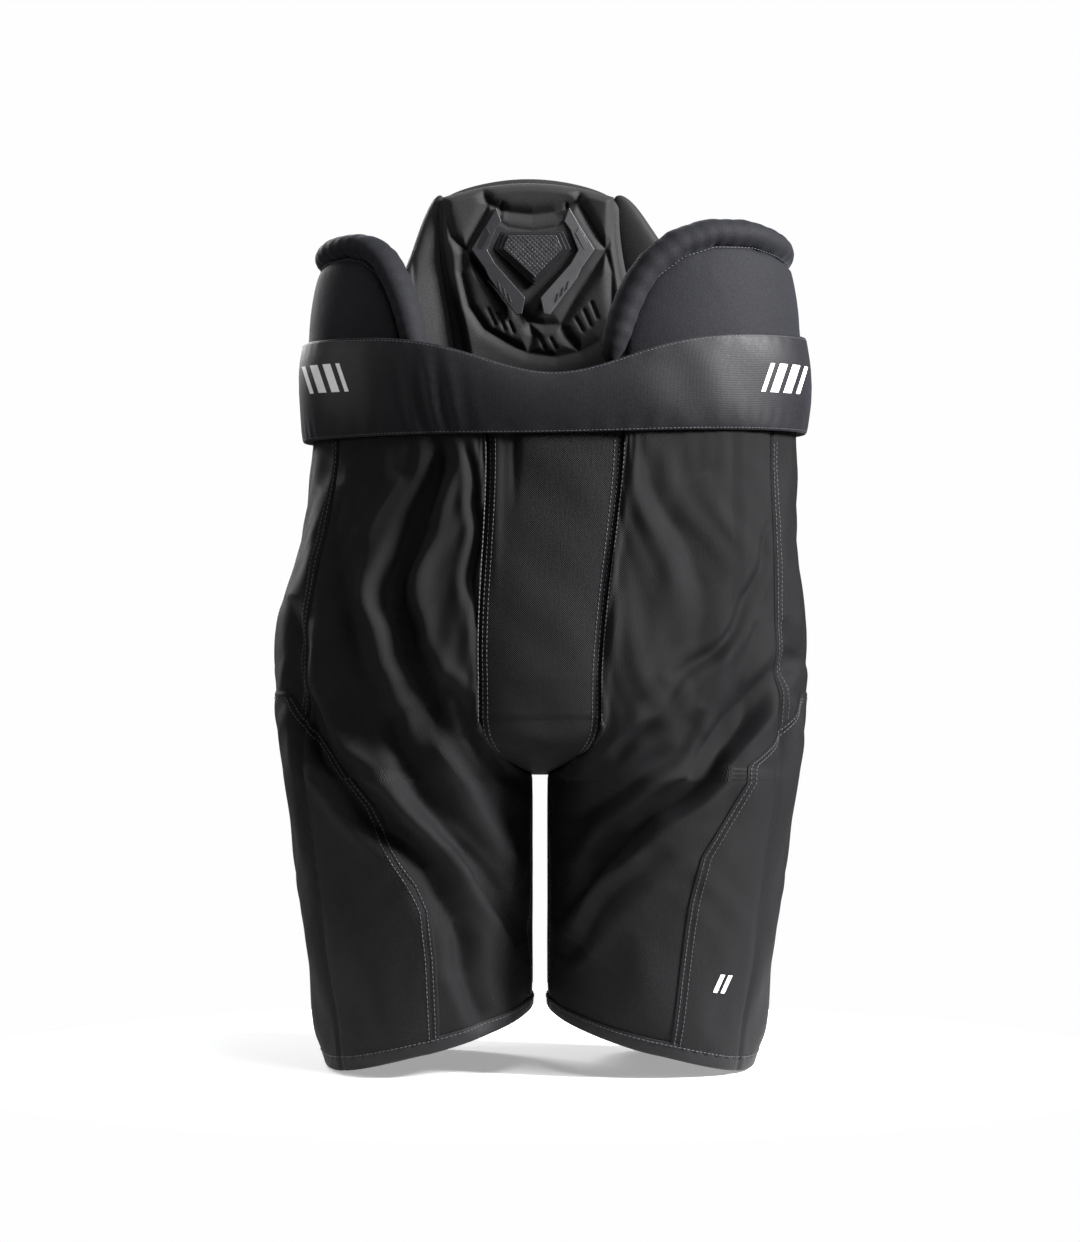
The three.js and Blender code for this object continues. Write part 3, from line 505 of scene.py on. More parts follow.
# ---- Fly and seat strip -------------------------------------------------------------------------
# The same nylon: a straight strip up the middle in front, and one behind. They narrow to a point under the
# crotch, where they meet as the gusset, and are sewn to the panels on both sides.
def strip_point(facing, share, level, lift=0.0):
    """Across the strip from edge to edge: flat under the crotch, and on the trunk's oval higher up. It
    stands out a little in the middle, and gathers into narrow pleats near the right seam below the waist."""
    share, level = np.broadcast_arrays(np.asarray(share, float), np.asarray(level, float))
    edge = cloth(1, facing * edge_at(level), level)
    other = cloth(-1, facing * edge_at(level), level)
    straight = other + (edge - other) * share[..., None]
    angle = strip_angle(level)
    turned = angle + (np.pi - 2 * angle) * (1 - share)
    x, y = oval(facing * turned, half_width(level), profile(level, front_depths),
                profile(level, back_depths), 0.83)
    curved = np.stack([x + sway * smooth(level, hip, waist), y, level], -1)
    point = straight + (curved - straight) * smooth(level, 236, 320)[...,
        None] * (4 * share * (1 - share))[..., None] ** 0.3
    middle = 4 * share * (1 - share)
    full = 3.5 * middle * smooth(level, crotch, 300) + 5.0 * middle * smooth(level, 215,
        250) * (1 - smooth(level, 250, 380))
    side_pleat = np.exp(-(((share - 0.12 - 0.03 * np.sin(level / 40)) / 0.045) ** 2)) * smooth(level, 330,
        440)
    pleat = np.exp(-(((share - 0.24) / 0.03) ** 2)) * smooth(level, 400, 455)
    ripple = 0.5 * np.sin(level / 19 + 5 * share) + 0.4 * np.sin(level / 8.3 + 9 * share) * middle
    out = full + middle * ripple * smooth(level, 225,
                                          250) + (2.6 * side_pleat - 2.4 * pleat) * (facing < 0) + lift
    out = out - 1.2 * np.exp(-((np.minimum(share, 1 - share) * 2 * fly_half(level) / 2.2) ** 2))
    down = (1 - smooth(level, crotch, crotch + 30)) * 0.9
    push = np.stack([0 * level, facing * (1 - down), -down], -1)
    return point + push * out[..., None]


for name, facing, nodes in (("fly_panel_front", -1, ("fly_panel", "crotch_gusset")),
                            ("seat_strip", 1, ("seat_panel",))):
    level, share = np.meshgrid(crotch + (waist + 7 - crotch) * np.linspace(0, 1, 120) ** 1.35,
                               np.linspace(0, 1, 46), indexing="ij")
    strip = strip_point(facing, share, level)
    under = strip[:1] * [1, 0.5, 1] + [0, -facing * 1.5, -1.2]
    strip = grid_mesh(name, np.concatenate([under, strip]), shell_paint, centre=(0, 0, 330))
    thicken(strip, 1.5)
    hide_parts(*nodes)
    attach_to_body(strip, "trunk")


# ---- Thigh caps ---------------------------------------------------------------------------------
# A second layer of nylon over the outside of each thigh, from the hem up to a point near the hip, laid on
# the shell and sewn down along its edge, to wear longest where the skater falls.
def cap_front(side, level):
    """The cap's front edge, which turns back towards the side seam above the knee."""
    if side > 0:
        return np.interp(level, [0, 76, 121, 159, 196, 222, 250, 279],
                         [-0.475, -0.465, -0.46, -0.445, -0.39, -0.35, -0.24, -0.12])
    return np.interp(level, [0, 76, 114, 136, 196, 235, 271, 279],
                     [-0.54, -0.544, -0.54, -0.52, -0.433, -0.32, -0.19, -0.16])


def cap_back(level):
    return np.interp(level, [0, 185, 240, 279], [0.222, 0.222, 0.12, -0.04])


for hand, side in sides:
    level, share = np.meshgrid(np.linspace(9, 279, 104), spread(250, 2.6), indexing="ij")
    first, last = cap_front(side, level), cap_back(level)
    across = first + (last - first) * share
    border = np.minimum(np.minimum(share, 1 - share) * (last - first) * round_leg, 279 - level)
    lift = 1.3 * smooth(border, -0.6, 1.4) - 0.5 * np.exp(-(((border - 5) / 1.6) ** 2)) - 0.2
    cap = grid_mesh(f"thigh_cap_{hand}", cloth(side, across, level, lift), shell_paint,
                    centre=(side * 90, 0, 150))
    thicken(cap, 1.0)
    bend(cap, side)


# ---- Hems ---------------------------------------------------------------------------------------
# Each leg opening is bound with a folded strip of the same nylon, turned under and topstitched.
def hem_cloth(place, surface):
    worn = place.noise(60.0, 4.0)
    weave = (surface.part(0) * 5400).sine() * (surface.part(1) * 5400).sine() * 0.5 + 0.5
    return {"Base Color": (weave * 0.4 + worn * 0.5).tint((0.0014, 0.0014, 0.0016), (0.013, 0.013, 0.0145)),
            "Roughness": 0.55 + worn * 0.2, "Bump": (weave * 0.00018 + worn * 0.0005, 0.6)}


hem_paint = finish("hem_binding",
                   {"Specular IOR Level": 0.15, "Sheen Weight": 0.02, "Sheen Roughness": 0.45}, hem_cloth)
for hand, side in sides:
    around, section = np.meshgrid(np.linspace(-1, 1, 260, endpoint=False), np.linspace(0, 1, 26),
                                  indexing="xy")
    fold = np.interp(section, [0, 0.42, 0.58, 1], [0, 1, 1, 0])
    turn = np.clip((section - 0.42) / 0.16, 0, 1) * np.pi
    inset = np.where(section < 0.42, -1.0 - 0.5 * np.sin(section / 0.42 * np.pi),
                     np.where(section > 0.58, 3.6, 1.3 - 2.3 * np.cos(turn)))
    level = 13.5 - 11.5 * fold - 1.6 * np.sin(turn)
    scallop = 0.25 * np.sin(around * round_leg / 1.9) * np.exp(-(((level - 10) / 2.5) ** 2))
    points = cloth(side, around, np.maximum(level, 0.3), -inset - 0.2 + scallop)
    points[..., 2] += np.minimum(level, 0)
    hem = grid_mesh(f"hem_{hand}", points, hem_paint, loop_across=True, centre=(side * 83, 0, 90))
    thicken(hem, 0.7)
    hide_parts(f"leg_hem_{hand}")
    bend(hem, side)


# ---- Topstitching -------------------------------------------------------------------------------
# Bonded nylon thread, in twin rows beside the long seams and single rows round the caps and hems.
thread_paint = finish("shell_thread", {"Specular IOR Level": 0.5, "Sheen Weight": 0.1}, lambda place,
                      surface: {
    "Base Color": place.noise(300.0).tint((0.018, 0.018, 0.021), (0.050, 0.051, 0.058)),
    "Roughness": 0.42 + place.noise(900.0) * 0.2,
    "Bump": ((surface.part(0) * 9000 + surface.part(1) * 5000).sine() * 0.00008, 0.5)})


def stitch_row(path, pitch=3.4, length=2.5, radius=0.32):
    """Stitches along a path of points: each is a short spindle, a circle of 5 carried along 5 places whose
    radius follows a half sine. Returns the points of every stitch and their faces."""
    steps = np.concatenate([[0], np.cumsum(np.linalg.norm(np.diff(path, axis=0), axis=1))])
    places = np.arange(pitch / 2, steps[-1], pitch)
    at = lambda s: np.stack([np.interp(s, steps, path[:, k]) for k in range(3)], -1)
    ahead = at(places + 0.6) - at(places - 0.6)
    ahead /= np.linalg.norm(ahead, axis=1, keepdims=True) + 1e-9
    side_way = np.cross(ahead, [0.31, 0.2, 0.93])
    side_way /= np.linalg.norm(side_way, axis=1, keepdims=True) + 1e-9
    third = np.cross(ahead, side_way)
    t, turn = np.meshgrid(np.linspace(-1, 1, 5), np.linspace(0, 2 * np.pi, 5, endpoint=False),
                          indexing="ij")
    wide = radius * np.sqrt(np.clip(1.05 - t**2, 0, 1))
    local = (t * length / 2)[None, ..., None] * ahead[:, None, None] \
        + (wide * np.cos(turn))[None, ..., None] * side_way[:, None, None] \
        + (wide * np.sin(turn))[None, ..., None] * third[:, None, None]
    points = at(places)[:, None, None] + local
    numbers = np.arange(25).reshape(5, 5)
    turned = np.roll(numbers, -1, 1)
    quads = np.stack([numbers[:-1], turned[:-1], turned[1:], numbers[1:]], -1).reshape(-1, 4)
    every = quads[None] + 25 * np.arange(len(places))[:, None, None]
    return points.reshape(-1, 3), every.reshape(-1, 4)


def stitches(name, rows, material, slot, **size):
    """One piece from the stitches of several paths."""
    points, faces, count = [], [], 0
    for path in rows:
        made, quads = stitch_row(path, **size)
        points.append(made), faces.append(quads + count)
        count += len(made)
    mesh = bpy.data.meshes.new(name)
    mesh.from_pydata((np.concatenate(points) / 1000).tolist(), [], np.concatenate(faces).tolist())
    u = np.concatenate(points)[np.concatenate(faces).ravel()] / 1000
    mesh.uv_layers.new(name="cloth").data.foreach_set("uv", np.ascontiguousarray(u[:, [0, 2]]).ravel())
    mesh.polygons.foreach_set("use_smooth", np.ones(len(mesh.polygons), bool))
    mesh.materials.append(material)
    piece = bpy.data.objects.new(name, mesh)
    scene.collection.objects.link(piece)
    return piece


long = np.linspace(14, 462, 300)
high = np.linspace(226, 462, 200)
for hand, side in sides:
    rows = []
    for beyond in (0.010, 0.024):
        rows.append(cloth(side, front_seam + beyond, np.linspace(20, 462, 300), 0.15))
        rows.append(cloth(side, back_seam + beyond, long, 0.15))
        rows.append(cloth(side, -edge_at(high) + beyond, high, 0.15))
        rows.append(cloth(side, edge_at(high) - beyond, high, 0.15))
    level = np.linspace(12, 275, 220)
    rows.append(cloth(side, cap_front(side, level) + 0.011, level, 1.35))
    rows.append(cloth(side, cap_front(side, level) + 0.026, level, 1.35))
    rows.append(cloth(side, cap_back(level) - 0.011, level, 1.35))
    low = np.linspace(14, 190, 120)
    rows.append(cloth(side, -0.917, low, 0.15))
    rows.append(cloth(side, np.linspace(-0.995, 0.995, 500), 11.0, 1.5))
    thread = stitches(f"shell_stitches_{hand}", rows, thread_paint, "shell_nylon")
    bend(thread, side)
rows = [strip_point(facing, np.full(160, share), np.linspace(236, 462, 160), 0.2) for facing in (-1, 1)
        for share in (0.035, 0.075, 0.925, 0.965)]
thread = stitches("strip_stitches", rows, thread_paint, "shell_nylon")
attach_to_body(thread, "trunk")


# ---- Belt ---------------------------------------------------------------------------------------
# A band of smooth stretch fabric over soft foam, sewn to the shell's waist. Its top dips in the middle of
# the front, and its lower edge puckers over the seam. Plain pale bars are printed near the hips.
belt_half, belt_front, belt_back = 190.0, 121.0, 123.0
belt_bottom, belt_top = 467.3, 539.3


def waist_ring(angle, z, inset):
    """The ring of the belt and of the collar inside it; angle is in degrees from the wearer's left."""
    x, y = oval(np.radians(angle), belt_half - inset, belt_front - inset, belt_back - inset, 0.83)
    return np.stack(np.broadcast_arrays(x + sway, y, z), -1)


def belt_edge(x, y):
    return belt_top - 29 * np.exp(-(((x - sway) / 75) ** 2)) * (y < 0)


def belt_point(angle, section):
    """section runs once round the band's cross-section, a flat loop with round ends, fuller outside."""
    height, depth = 0.5 + 0.5 * np.sign(np.cos(section)) * np.abs(np.cos(section)) ** 0.55, np.sin(section)
    plain = waist_ring(angle, 0 * angle, 0)
    top = belt_edge(plain[..., 0], plain[..., 1]) + 0.012 * (plain[..., 0] - sway)
    bottom = belt_bottom - 1.0 + 4.0 * smooth(plain[..., 0], -40, 190) - 2.5 * smooth(-plain[..., 0], 60,
        190)
    pucker = np.exp(-(((plain[..., 0] + 78) / 20) ** 2)) * (plain[..., 1] < 0)
    girth = np.radians(angle) * 150
    wrinkle = 0.55 * np.sin(girth / 11 + height * 3 + 1.5 * np.sin(girth / 27)) * np.sin(np.pi * height)
    wrinkle = wrinkle + 0.5 * np.sin(girth / 31 + 5 * height) + 2.4 * pucker * np.sin((plain[...,
        0] + 78) / 2.6 + 4 * height) * (1 - height)
    gather = 0.5 * np.sin(girth / 2.7 + 2 * np.sin(girth / 17)) * (np.exp(-(height / 0.16) ** 2) + 0.5
        * np.exp(-((1 - height) / 0.1) ** 2))
    out = np.where(depth > 0, 2.2 * np.abs(depth) ** 0.75 + (wrinkle + gather) * depth,
                   -7.4 * np.abs(depth) ** 0.6)
    out = out + 2.2 * np.sin(np.pi
                             * height) * (depth > 0) * depth - 1.8 * pucker * np.exp(-(height / 0.3) ** 2)
    z = bottom + (top - bottom) * height
    return waist_ring(angle, z, 2.6 - out)


def stretch_knit(place, surface):
    """Fine stretch knit: narrow ribs, a little nap and slow changes of shade where it is stretched."""
    rib = (surface.part(0) * (2 * math.pi / 0.0010)).sine() * 0.5 + 0.5
    loop = (surface.part(1) * (2 * math.pi / 0.0013)).sine() * 0.5 + 0.5
    nap = place.noise(420.0, 2.0)
    slow = place.noise(16.0, 3.0)
    mark = belt_marks(place)
    cloth_shade = (rib * loop * 0.3 + nap * 0.35 + slow * 0.35).tint((0.0018, 0.0018, 0.0022),
        (0.0125, 0.0127, 0.0158))
    print_shade = nap.tint((0.62, 0.62, 0.63), (0.78, 0.78, 0.79))
    return {"Base Color": place.make("ShaderNodeMix", {"data_type": "RGBA"},
                                     {0: mark, 6: cloth_shade, 7: print_shade}, out=2),
            "Roughness": 0.46 + nap * 0.16 - mark * 0.1,
            "Bump": (rib * loop * 0.00010 + nap * 0.00010 + mark * 0.00012, 0.5)}


def belt_marks(place):
    """Slanting bars near each hip: inside a band of heights and of slanted places, where a wave is high."""
    x, y, z = place.part(0), place.part(1), place.part(2)
    tall = (0.0105 - (z - 0.5085).size()) > 0.0
    slanted = (x - 0.011).size() - (z - 0.5085) * 0.35 - 0.1690
    wide = (0.0150 - slanted.size()) > 0.0
    wave = (slanted * (2 * math.pi / 0.0100) - math.pi / 2).sine() > -0.35
    return tall.least(wide).least(wave).least((0.0 - y) > 0.0)


belt_paint = finish("belt_fabric",
                    {"Specular IOR Level": 0.17, "Sheen Weight": 0.045, "Sheen Roughness": 0.38,
                                    "Sheen Tint": (0.78, 0.80, 0.95, 1)}, stretch_knit)
angle, section = np.meshgrid(np.linspace(-180, 180, 420, endpoint=False),
                             np.linspace(0, 2 * np.pi, 48, endpoint=False))
belt = grid_mesh("belt_cover_soft", belt_point(angle, section), belt_paint, loop_across=True, loop_up=True,
                 centre=(0, 0, 500))
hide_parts("belt_cover")
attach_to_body(belt, "trunk")
turn = np.linspace(-180, 180, 700)
belt_thread = stitches("belt_stitches",
                       [belt_point(turn, np.full(700, 0.42)), belt_point(turn, np.full(700, np.pi - 0.40))],
                       thread_paint, "belt_fabric", pitch=3.0, length=2.2, radius=0.25)
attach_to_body(belt_thread, "trunk")


# ---- Kidney pads --------------------------------------------------------------------------------
# Foam in brushed knit, one over each hip, held inside the belt. The main pad is blown up and settles as
# cloth; a fat roll of the same knit is sewn along its top and down its front edge.
def collar(angle, z, inset):
    """The ring just inside the belt, which leans in towards its top."""
    return waist_ring(angle, z, 8.6 + inset + 0.09 * np.maximum(0, z - belt_top))


pad_lines = {1: ([-80.5, -78.5, -76, -73, -69, -62, -52, -37, 0, 41],
                 [-26, -4, 17, 34, 48, 62, 70, 71, 60, 52]),
             -1: ([-59, -57.5, -54, -50, -46, -40, -32, -18, 0, 41],
                  [-26, -4, 20, 38, 51, 60, 63, 62, 57, 50])}


def pad_top(angle, side):
    """The eased top line of a kidney pad: steep in front, level over the hip. The right one ends sooner."""
    fine = np.linspace(-90, 60, 601)
    rises = np.interp(fine, *pad_lines[side])
    rises = np.convolve(np.pad(rises, 10, "edge"), np.hanning(21) / np.hanning(21).sum(), "valid")
    return belt_top + np.interp(angle, fine, rises)


def rounded_slab(place, columns, rows, crisp=0.5, ends=2.6):
    """A closed cushion of points. place(along, height, depth) maps 0..1 to the object; the section is a
    superellipse, squarer as crisp falls, and its depth closes at both ends as a superellipse too."""
    height = 0.5 - 0.5 * np.cos(np.linspace(0, np.pi, rows // 2 + 1))
    bulge = (1 - np.abs(2 * height - 1) ** (2 / crisp)) ** (crisp / 2)
    heights = np.concatenate([height, height[-2:0:-1]])
    depths = np.concatenate([-bulge, bulge[-2:0:-1]]) / 2
    along = 0.5 - 0.5 * np.cos(np.linspace(0, np.pi, columns))
    along = 0.6 * np.linspace(0, 1, columns) + 0.4 * along
    close = (1 - np.abs(2 * along - 1) ** (ends * 3)) ** (1 / ends)
    rise = 0.5 + (heights[:, None] - 0.5) * (0.86 + 0.14 * close)
    return place(np.broadcast_to(along, rise.shape), rise, 0.5 + depths[:, None] * close)


def closed(piece):
    """Joins the points that meet at the ends."""
    made = bmesh.new()
    made.from_mesh(piece.data)
    bmesh.ops.remove_doubles(made, verts=made.verts, dist=1e-5)
    made.to_mesh(piece.data)
    made.free()
    return piece


def blow_up(piece, voxel, pressure, cap, steps=20):
    """Cloth under pressure without gravity: an even remesh, a short run in which no point moves further than
    cap millimetres, and one subdivision."""
    remesh = piece.modifiers.new("even", "REMESH")
    remesh.mode, remesh.voxel_size = "VOXEL", voxel / 1000
    even = bpy.data.meshes.new_from_object(piece.evaluated_get(bpy.context.evaluated_depsgraph_get()))
    piece.modifiers.clear()
    paint = piece.data.materials[0]
    piece.data = even
    even.materials.clear()
    even.materials.append(paint)
    rest = np.zeros(len(even.vertices) * 3)
    even.vertices.foreach_get("co", rest)
    moved = rest
    cloth_run = piece.modifiers.new("cloth", "CLOTH")
    cloth_run.settings.use_pressure = True
    cloth_run.settings.uniform_pressure_force = pressure
    cloth_run.settings.effector_weights.gravity = 0
    cloth_run.settings.quality = 5
    for step in range(1, steps + 1):
        scene.frame_set(step)
    blown = piece.evaluated_get(bpy.context.evaluated_depsgraph_get()).data
    moved = np.zeros(len(even.vertices) * 3)
    blown.vertices.foreach_get("co", moved)
    piece.modifiers.clear()
    scene.frame_set(1)
    shift = (moved - rest).reshape(-1, 3)
    far = np.linalg.norm(shift, axis=1, keepdims=True)
    shift *= np.minimum(1, cap / 1000 / np.maximum(far, 1e-9))
    even.vertices.foreach_set("co", (rest.reshape(-1, 3) + shift).ravel())
    even.polygons.foreach_set("use_smooth", np.ones(len(even.polygons), bool))
    piece.modifiers.new("round", "SUBSURF").levels = 1
    piece.modifiers["round"].render_levels = 1
    return piece


def brushed_knit(place, surface):
    """Matte brushed knit: tiny uneven loops under a short nap, and paler where it is rubbed."""
    loops = place.make("ShaderNodeTexVoronoi", {"feature": "F1"}, {"Vector": place, "Scale": 620.0})
    nap = place.noise(900.0, 2.0)
    slow = place.noise(22.0, 4.0, 0.6)
    rubbed = place.noise(60.0, 3.0)
    return {"Base Color": (loops * 0.35 + nap * 0.25 + slow * 0.3 + rubbed * 0.1).tint((0.0014, 0.0014,
        0.0018), (0.0112, 0.0115, 0.0146)),
            "Roughness": 0.66 + nap * 0.2,
            "Bump": (0.0002 - loops * 0.00016 + nap * 0.00012 + slow * 0.0010, 0.6)}


collar_paint = finish("collar_fabric",
                      {"Specular IOR Level": 0.13, "Sheen Weight": 0.055, "Sheen Roughness": 0.4,
                                        "Sheen Tint": (0.78, 0.80, 0.94, 1)}, brushed_knit)
for hand, side in sides:
    def pad_place(along, height, depth, side=side):
        first = pad_lines[side][0][0] + 2.5
        angle = first + (40 - first) * along
        top = pad_top(angle, side) - 1
        z = 472.5 + (top - 472.5) * height
        full = 4.2 * np.sin(np.pi * np.clip(along, 0, 1)) ** 0.6 * np.sin(np.pi * np.clip(height, 0,
            1)) ** 0.7
        crease = 1.6 * np.exp(-(((height - 0.52 - 0.2 * (along - 0.3)) / 0.05) ** 2)) * smooth(along, 0.25,
            0.6)
        inset = 1.6 + 15.0 * depth - (full - crease) * (1 - 2 * depth) * 0.55
        return collar(np.where(side > 0, angle, 180 - angle), z, inset)

    pad = closed(grid_mesh(f"kidney_pad_soft_{hand}", rounded_slab(pad_place, 110, 52), collar_paint,
                           loop_up=True, centre=(side * 150, 0, 540)))
    blow_up(pad, 4.5, 4.0, 3.0)
    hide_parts(f"kidney_pad_{hand}")
    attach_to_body(pad, "trunk")

    # The roll: an oval carried along the top line, which flattens as it turns down the front edge.
    angle = np.concatenate([[pad_lines[side][0][0] - 0.8], np.linspace(pad_lines[side][0][0], 41.5, 149)])
    fine = np.linspace(angle[0], 41.5, 3000)
    track = collar(fine, pad_top(fine, side), 9.0)
    run = np.concatenate([[0], np.cumsum(np.linalg.norm(np.diff(track, axis=0), axis=1))])
    angle = np.interp(np.linspace(0, run[-1], 150), run, fine)
    turn = np.linspace(0, 2 * np.pi, 28, endpoint=False)
    real = np.where(side > 0, angle, 180 - angle)
    top = pad_top(angle, side)
    middle = collar(real, top + 4.5, 9.0)
    ahead = np.gradient(middle, axis=0)
    ahead /= np.linalg.norm(ahead, axis=1, keepdims=True)
    outward = collar(real, top, 0.0) - collar(real, top, 9.0)
    outward /= np.linalg.norm(outward, axis=1, keepdims=True)
    above = np.cross(ahead, outward)
    above *= np.sign(above[75, 2])
    shut = (1 - np.abs(np.linspace(-1, 1, 150)) ** 14) ** 0.5
    gathers = 1 + 0.018 * np.sin(np.arange(150) * 1.1 + 2 * np.sin(np.arange(150) / 9))
    wide, tall = 12.6 * shut * gathers, (11.0 if side > 0 else 9.0) * shut * gathers
    roll = middle[None] + (wide * np.cos(turn)[:, None])[..., None] * outward[None] \
        + (tall * np.sin(turn)[:, None])[..., None] * above[None]
    roll = closed(grid_mesh(f"kidney_roll_soft_{hand}", roll, collar_paint, loop_up=True,
                            centre=(side * 150, 0, 590)))
    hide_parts(f"kidney_roll_{hand}")
    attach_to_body(roll, "trunk")
    seam = collar(real[14:-6], top[14:-6] - 6.0, 1.5)
    kidney_thread = stitches(f"kidney_stitches_{hand}", [seam], thread_paint, "collar_fabric", pitch=3.2,
                             length=2.3, radius=0.28)
    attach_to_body(kidney_thread, "trunk")


# ---- Spine pad ----------------------------------------------------------------------------------
# A tall foam pad behind the lower back, covered in mesh. Its inner face is pressed into lobes round a six
# sided field; a thinner wing on each side, with a double stitched edge, joins it to the kidney pads.
def pressed_mesh(place, surface):
    """Dull pressed mesh over foam: small holes in rows, darker than the yarn between them."""
    x, z = place.part(0), place.part(2)
    holes = ((x + z * 0.5) * (2 * math.pi / 0.0017)).sine() * ((z - x * 0.5)
        * (2 * math.pi / 0.0017)).sine()
    holes = holes * 0.5 + 0.5
    nap = place.noise(800.0, 2.0)
    slow = place.noise(30.0, 3.0)
    return {"Base Color": (holes * 0.4 + nap * 0.3 + slow * 0.35).tint((0.0014, 0.0014, 0.0016),
        (0.012, 0.012, 0.0135)),
            "Roughness": 0.60 + nap * 0.2,
            "Bump": (holes * 0.00024 + nap * 0.0001 + slow * 0.0006, 0.7)}


molded_paint = finish("molded_mesh",
                      {"Specular IOR Level": 0.24, "Sheen Weight": 0.06, "Sheen Roughness": 0.5},
                      pressed_mesh)
spine_shift = -9.0  # the pad stands this far to the wearer's right of the belt's middle


def spine_top(x):
    return 672.5 - 0.0026 * x**2


def lean(points):
    """Moves the spine pad's pieces from the belt's middle to their own."""
    return points + np.stack([spine_shift * smooth(points[..., 2], 500, 640) - sway * smooth(points[..., 2],
        500, 640),
                              0 * points[..., 2], 0 * points[..., 2]], -1)


def spine_place(along, height, depth):
    angle = 112 - 44 * along
    plain = collar(angle, 600 + 0 * angle, 0)
    z = 472 + (spine_top(plain[..., 0] - sway) - 472) * height
    full = 2.0 * np.sin(np.pi * np.clip(height, 0, 1)) * np.sin(np.pi * np.clip(along, 0, 1)) * (1 - depth)
    return lean(collar(angle, z, 0.4 + 19.2 * depth - full))


spine = closed(grid_mesh("spine_pad_soft", rounded_slab(spine_place, 90, 60, crisp=0.38), molded_paint,
                         loop_up=True, centre=(0, 100, 570)))
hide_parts("spine_pad")
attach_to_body(spine, "trunk")

# Grooves pressed into the inner face, as corners (x, z), and the short slots in its lower lobes.
face_grooves = [
    [(-45, 668), (-39, 652)], [(33, 668), (30, 654)],
    [(-39, 652), (-23, 646), (-5, 644), (13, 646), (30, 654)],
    [(-39, 652), (-46, 636), (-56, 615), (-44, 598), (-28, 579), (-15, 562)],
    [(30, 654), (40, 636), (51, 617), (40, 600), (26, 583), (10, 560)],
    [(-15, 562), (-3, 559.5), (10, 560)],
    [(-15, 562), (-12, 551), (-18, 538)], [(10, 560), (13, 551), (22, 539)],
    [(-62, 600), (-59, 574), (-49, 556), (-33, 546), (-18, 538), (3, 535), (22, 539), (39, 548), (51, 561),
     (54, 600)],
    [(-74, 651), (-67, 626), (-56, 615)], [(-56, 615), (-62, 600)],
    [(61, 652), (56, 626), (51, 617)], [(51, 617), (54, 600)],
]
face_slots = [[(-45, 571), (-41, 560)], [(-37.5, 567), (-34, 556)], [(-30, 562), (-27.5, 554)],
              [(22, 564), (26, 555)],
              [(29, 570), (32.5, 559)], [(35.5, 576), (38.5, 565)], [(-8, 549.5), (-5, 542)],
              [(0.5, 549), (3.5, 542)],
              [(-30, 641), (-28, 652)], [(22, 641), (21, 652)]]


def face_height(x, z):
    """How far the inner face stands out: every lobe is full, and falls off towards the nearest groove."""
    groove = np.min([beside(x, z, line)[0] for line in face_grooves], axis=0)
    slot = np.min([beside(x, z, line)[0] for line in face_slots], axis=0)
    second = beside(x, z, [(-33, 640), (-23, 634), (-5, 631.5), (13, 634), (24, 641)])[0]
    cuts = 1.6 * np.exp(-((slot / 1.5) ** 2)) + 0.8 * np.exp(-((second / 1.3) ** 2))
    return 5.0 * (1 - np.exp(-(groove / 4.2) ** 1.5)) - cuts


x, share = np.meshgrid(np.linspace(-66, 66, 140), np.linspace(0, 1, 190))
z = 478 + (spine_top(x) - 4 - 478) * share
wide, deep = belt_half - 28.6 - 0.09 * np.maximum(0, z - belt_top), belt_back - 28.6 - 0.09 * np.maximum(0,
    z - belt_top)
y = (1 - (np.abs(x) / wide) ** (2 / 0.83)) ** (0.83 / 2) * deep
border = np.minimum(np.minimum(66 - np.abs(x), (spine_top(x) - 4) - z), z - 478)
# The field inside the grooves is drawn in the place it has on the leaning pad.
stand = (face_height(x - 8 * smooth(z, 500, 640), z) + 1.2) * smooth(border, -1,
    7) - 3.0 * (1 - smooth(border, 0, 3))
face = np.stack([x + sway - (sway - spine_shift) * smooth(z, 500, 640), y - stand, z], -1)
face = grid_mesh("spine_face", face, molded_paint, centre=(0, 140, 570))
thicken(face, 1.2)
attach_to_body(face, "trunk")

for hand, side in sides:
    def wing_place(along, height, depth, side=side):
        angle = 70.5 - 30 * along
        top = 664 - 62 * smooth(along, 0.0, 0.62) - 8 * along
        z = 472 + (top - 472) * height
        dents = sum(np.exp(-(((along - a) / 0.035) ** 2) - (((z - c + (along - a) * 260) / 9) ** 2))
                    for a, c in ((0.46, 606), (0.60, 600), (0.74, 592)))
        hem_line = np.exp(-(((along - 0.90) / 0.012) ** 2)) + np.exp(-(((along - 0.84) / 0.012) ** 2))
        full = 2.4 * np.sin(np.pi * np.clip(along, 0, 1)) * np.sin(np.pi * np.clip(height, 0,
            1)) ** 0.5 - 1.7 * dents - 0.9 * hem_line
        points = collar(np.where(side > 0, angle, 180 - angle), z, 2.2 + (11.6 + full) * depth)
        return points + np.stack([-(1 - along) * (sway - spine_shift) * smooth(z, 500, 640), 0 * z, 0 * z],
                                 -1)

    wing = closed(grid_mesh(f"spine_wing_soft_{hand}", rounded_slab(wing_place, 84, 64, crisp=0.4),
                            molded_paint,
                            loop_up=True, centre=(side * 105, 88, 560)))
    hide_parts(f"spine_wing_{hand}")
    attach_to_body(wing, "trunk")
    rows = [wing_place(np.full(110, a), np.linspace(0.25, 0.95, 110), np.full(110, 1.0),
                       side) for a in (0.84, 0.90)]
    wing_thread = stitches(f"wing_stitches_{hand}", rows, thread_paint, "molded_mesh", pitch=3.0,
                           length=2.2, radius=0.3)
    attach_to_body(wing_thread, "trunk")
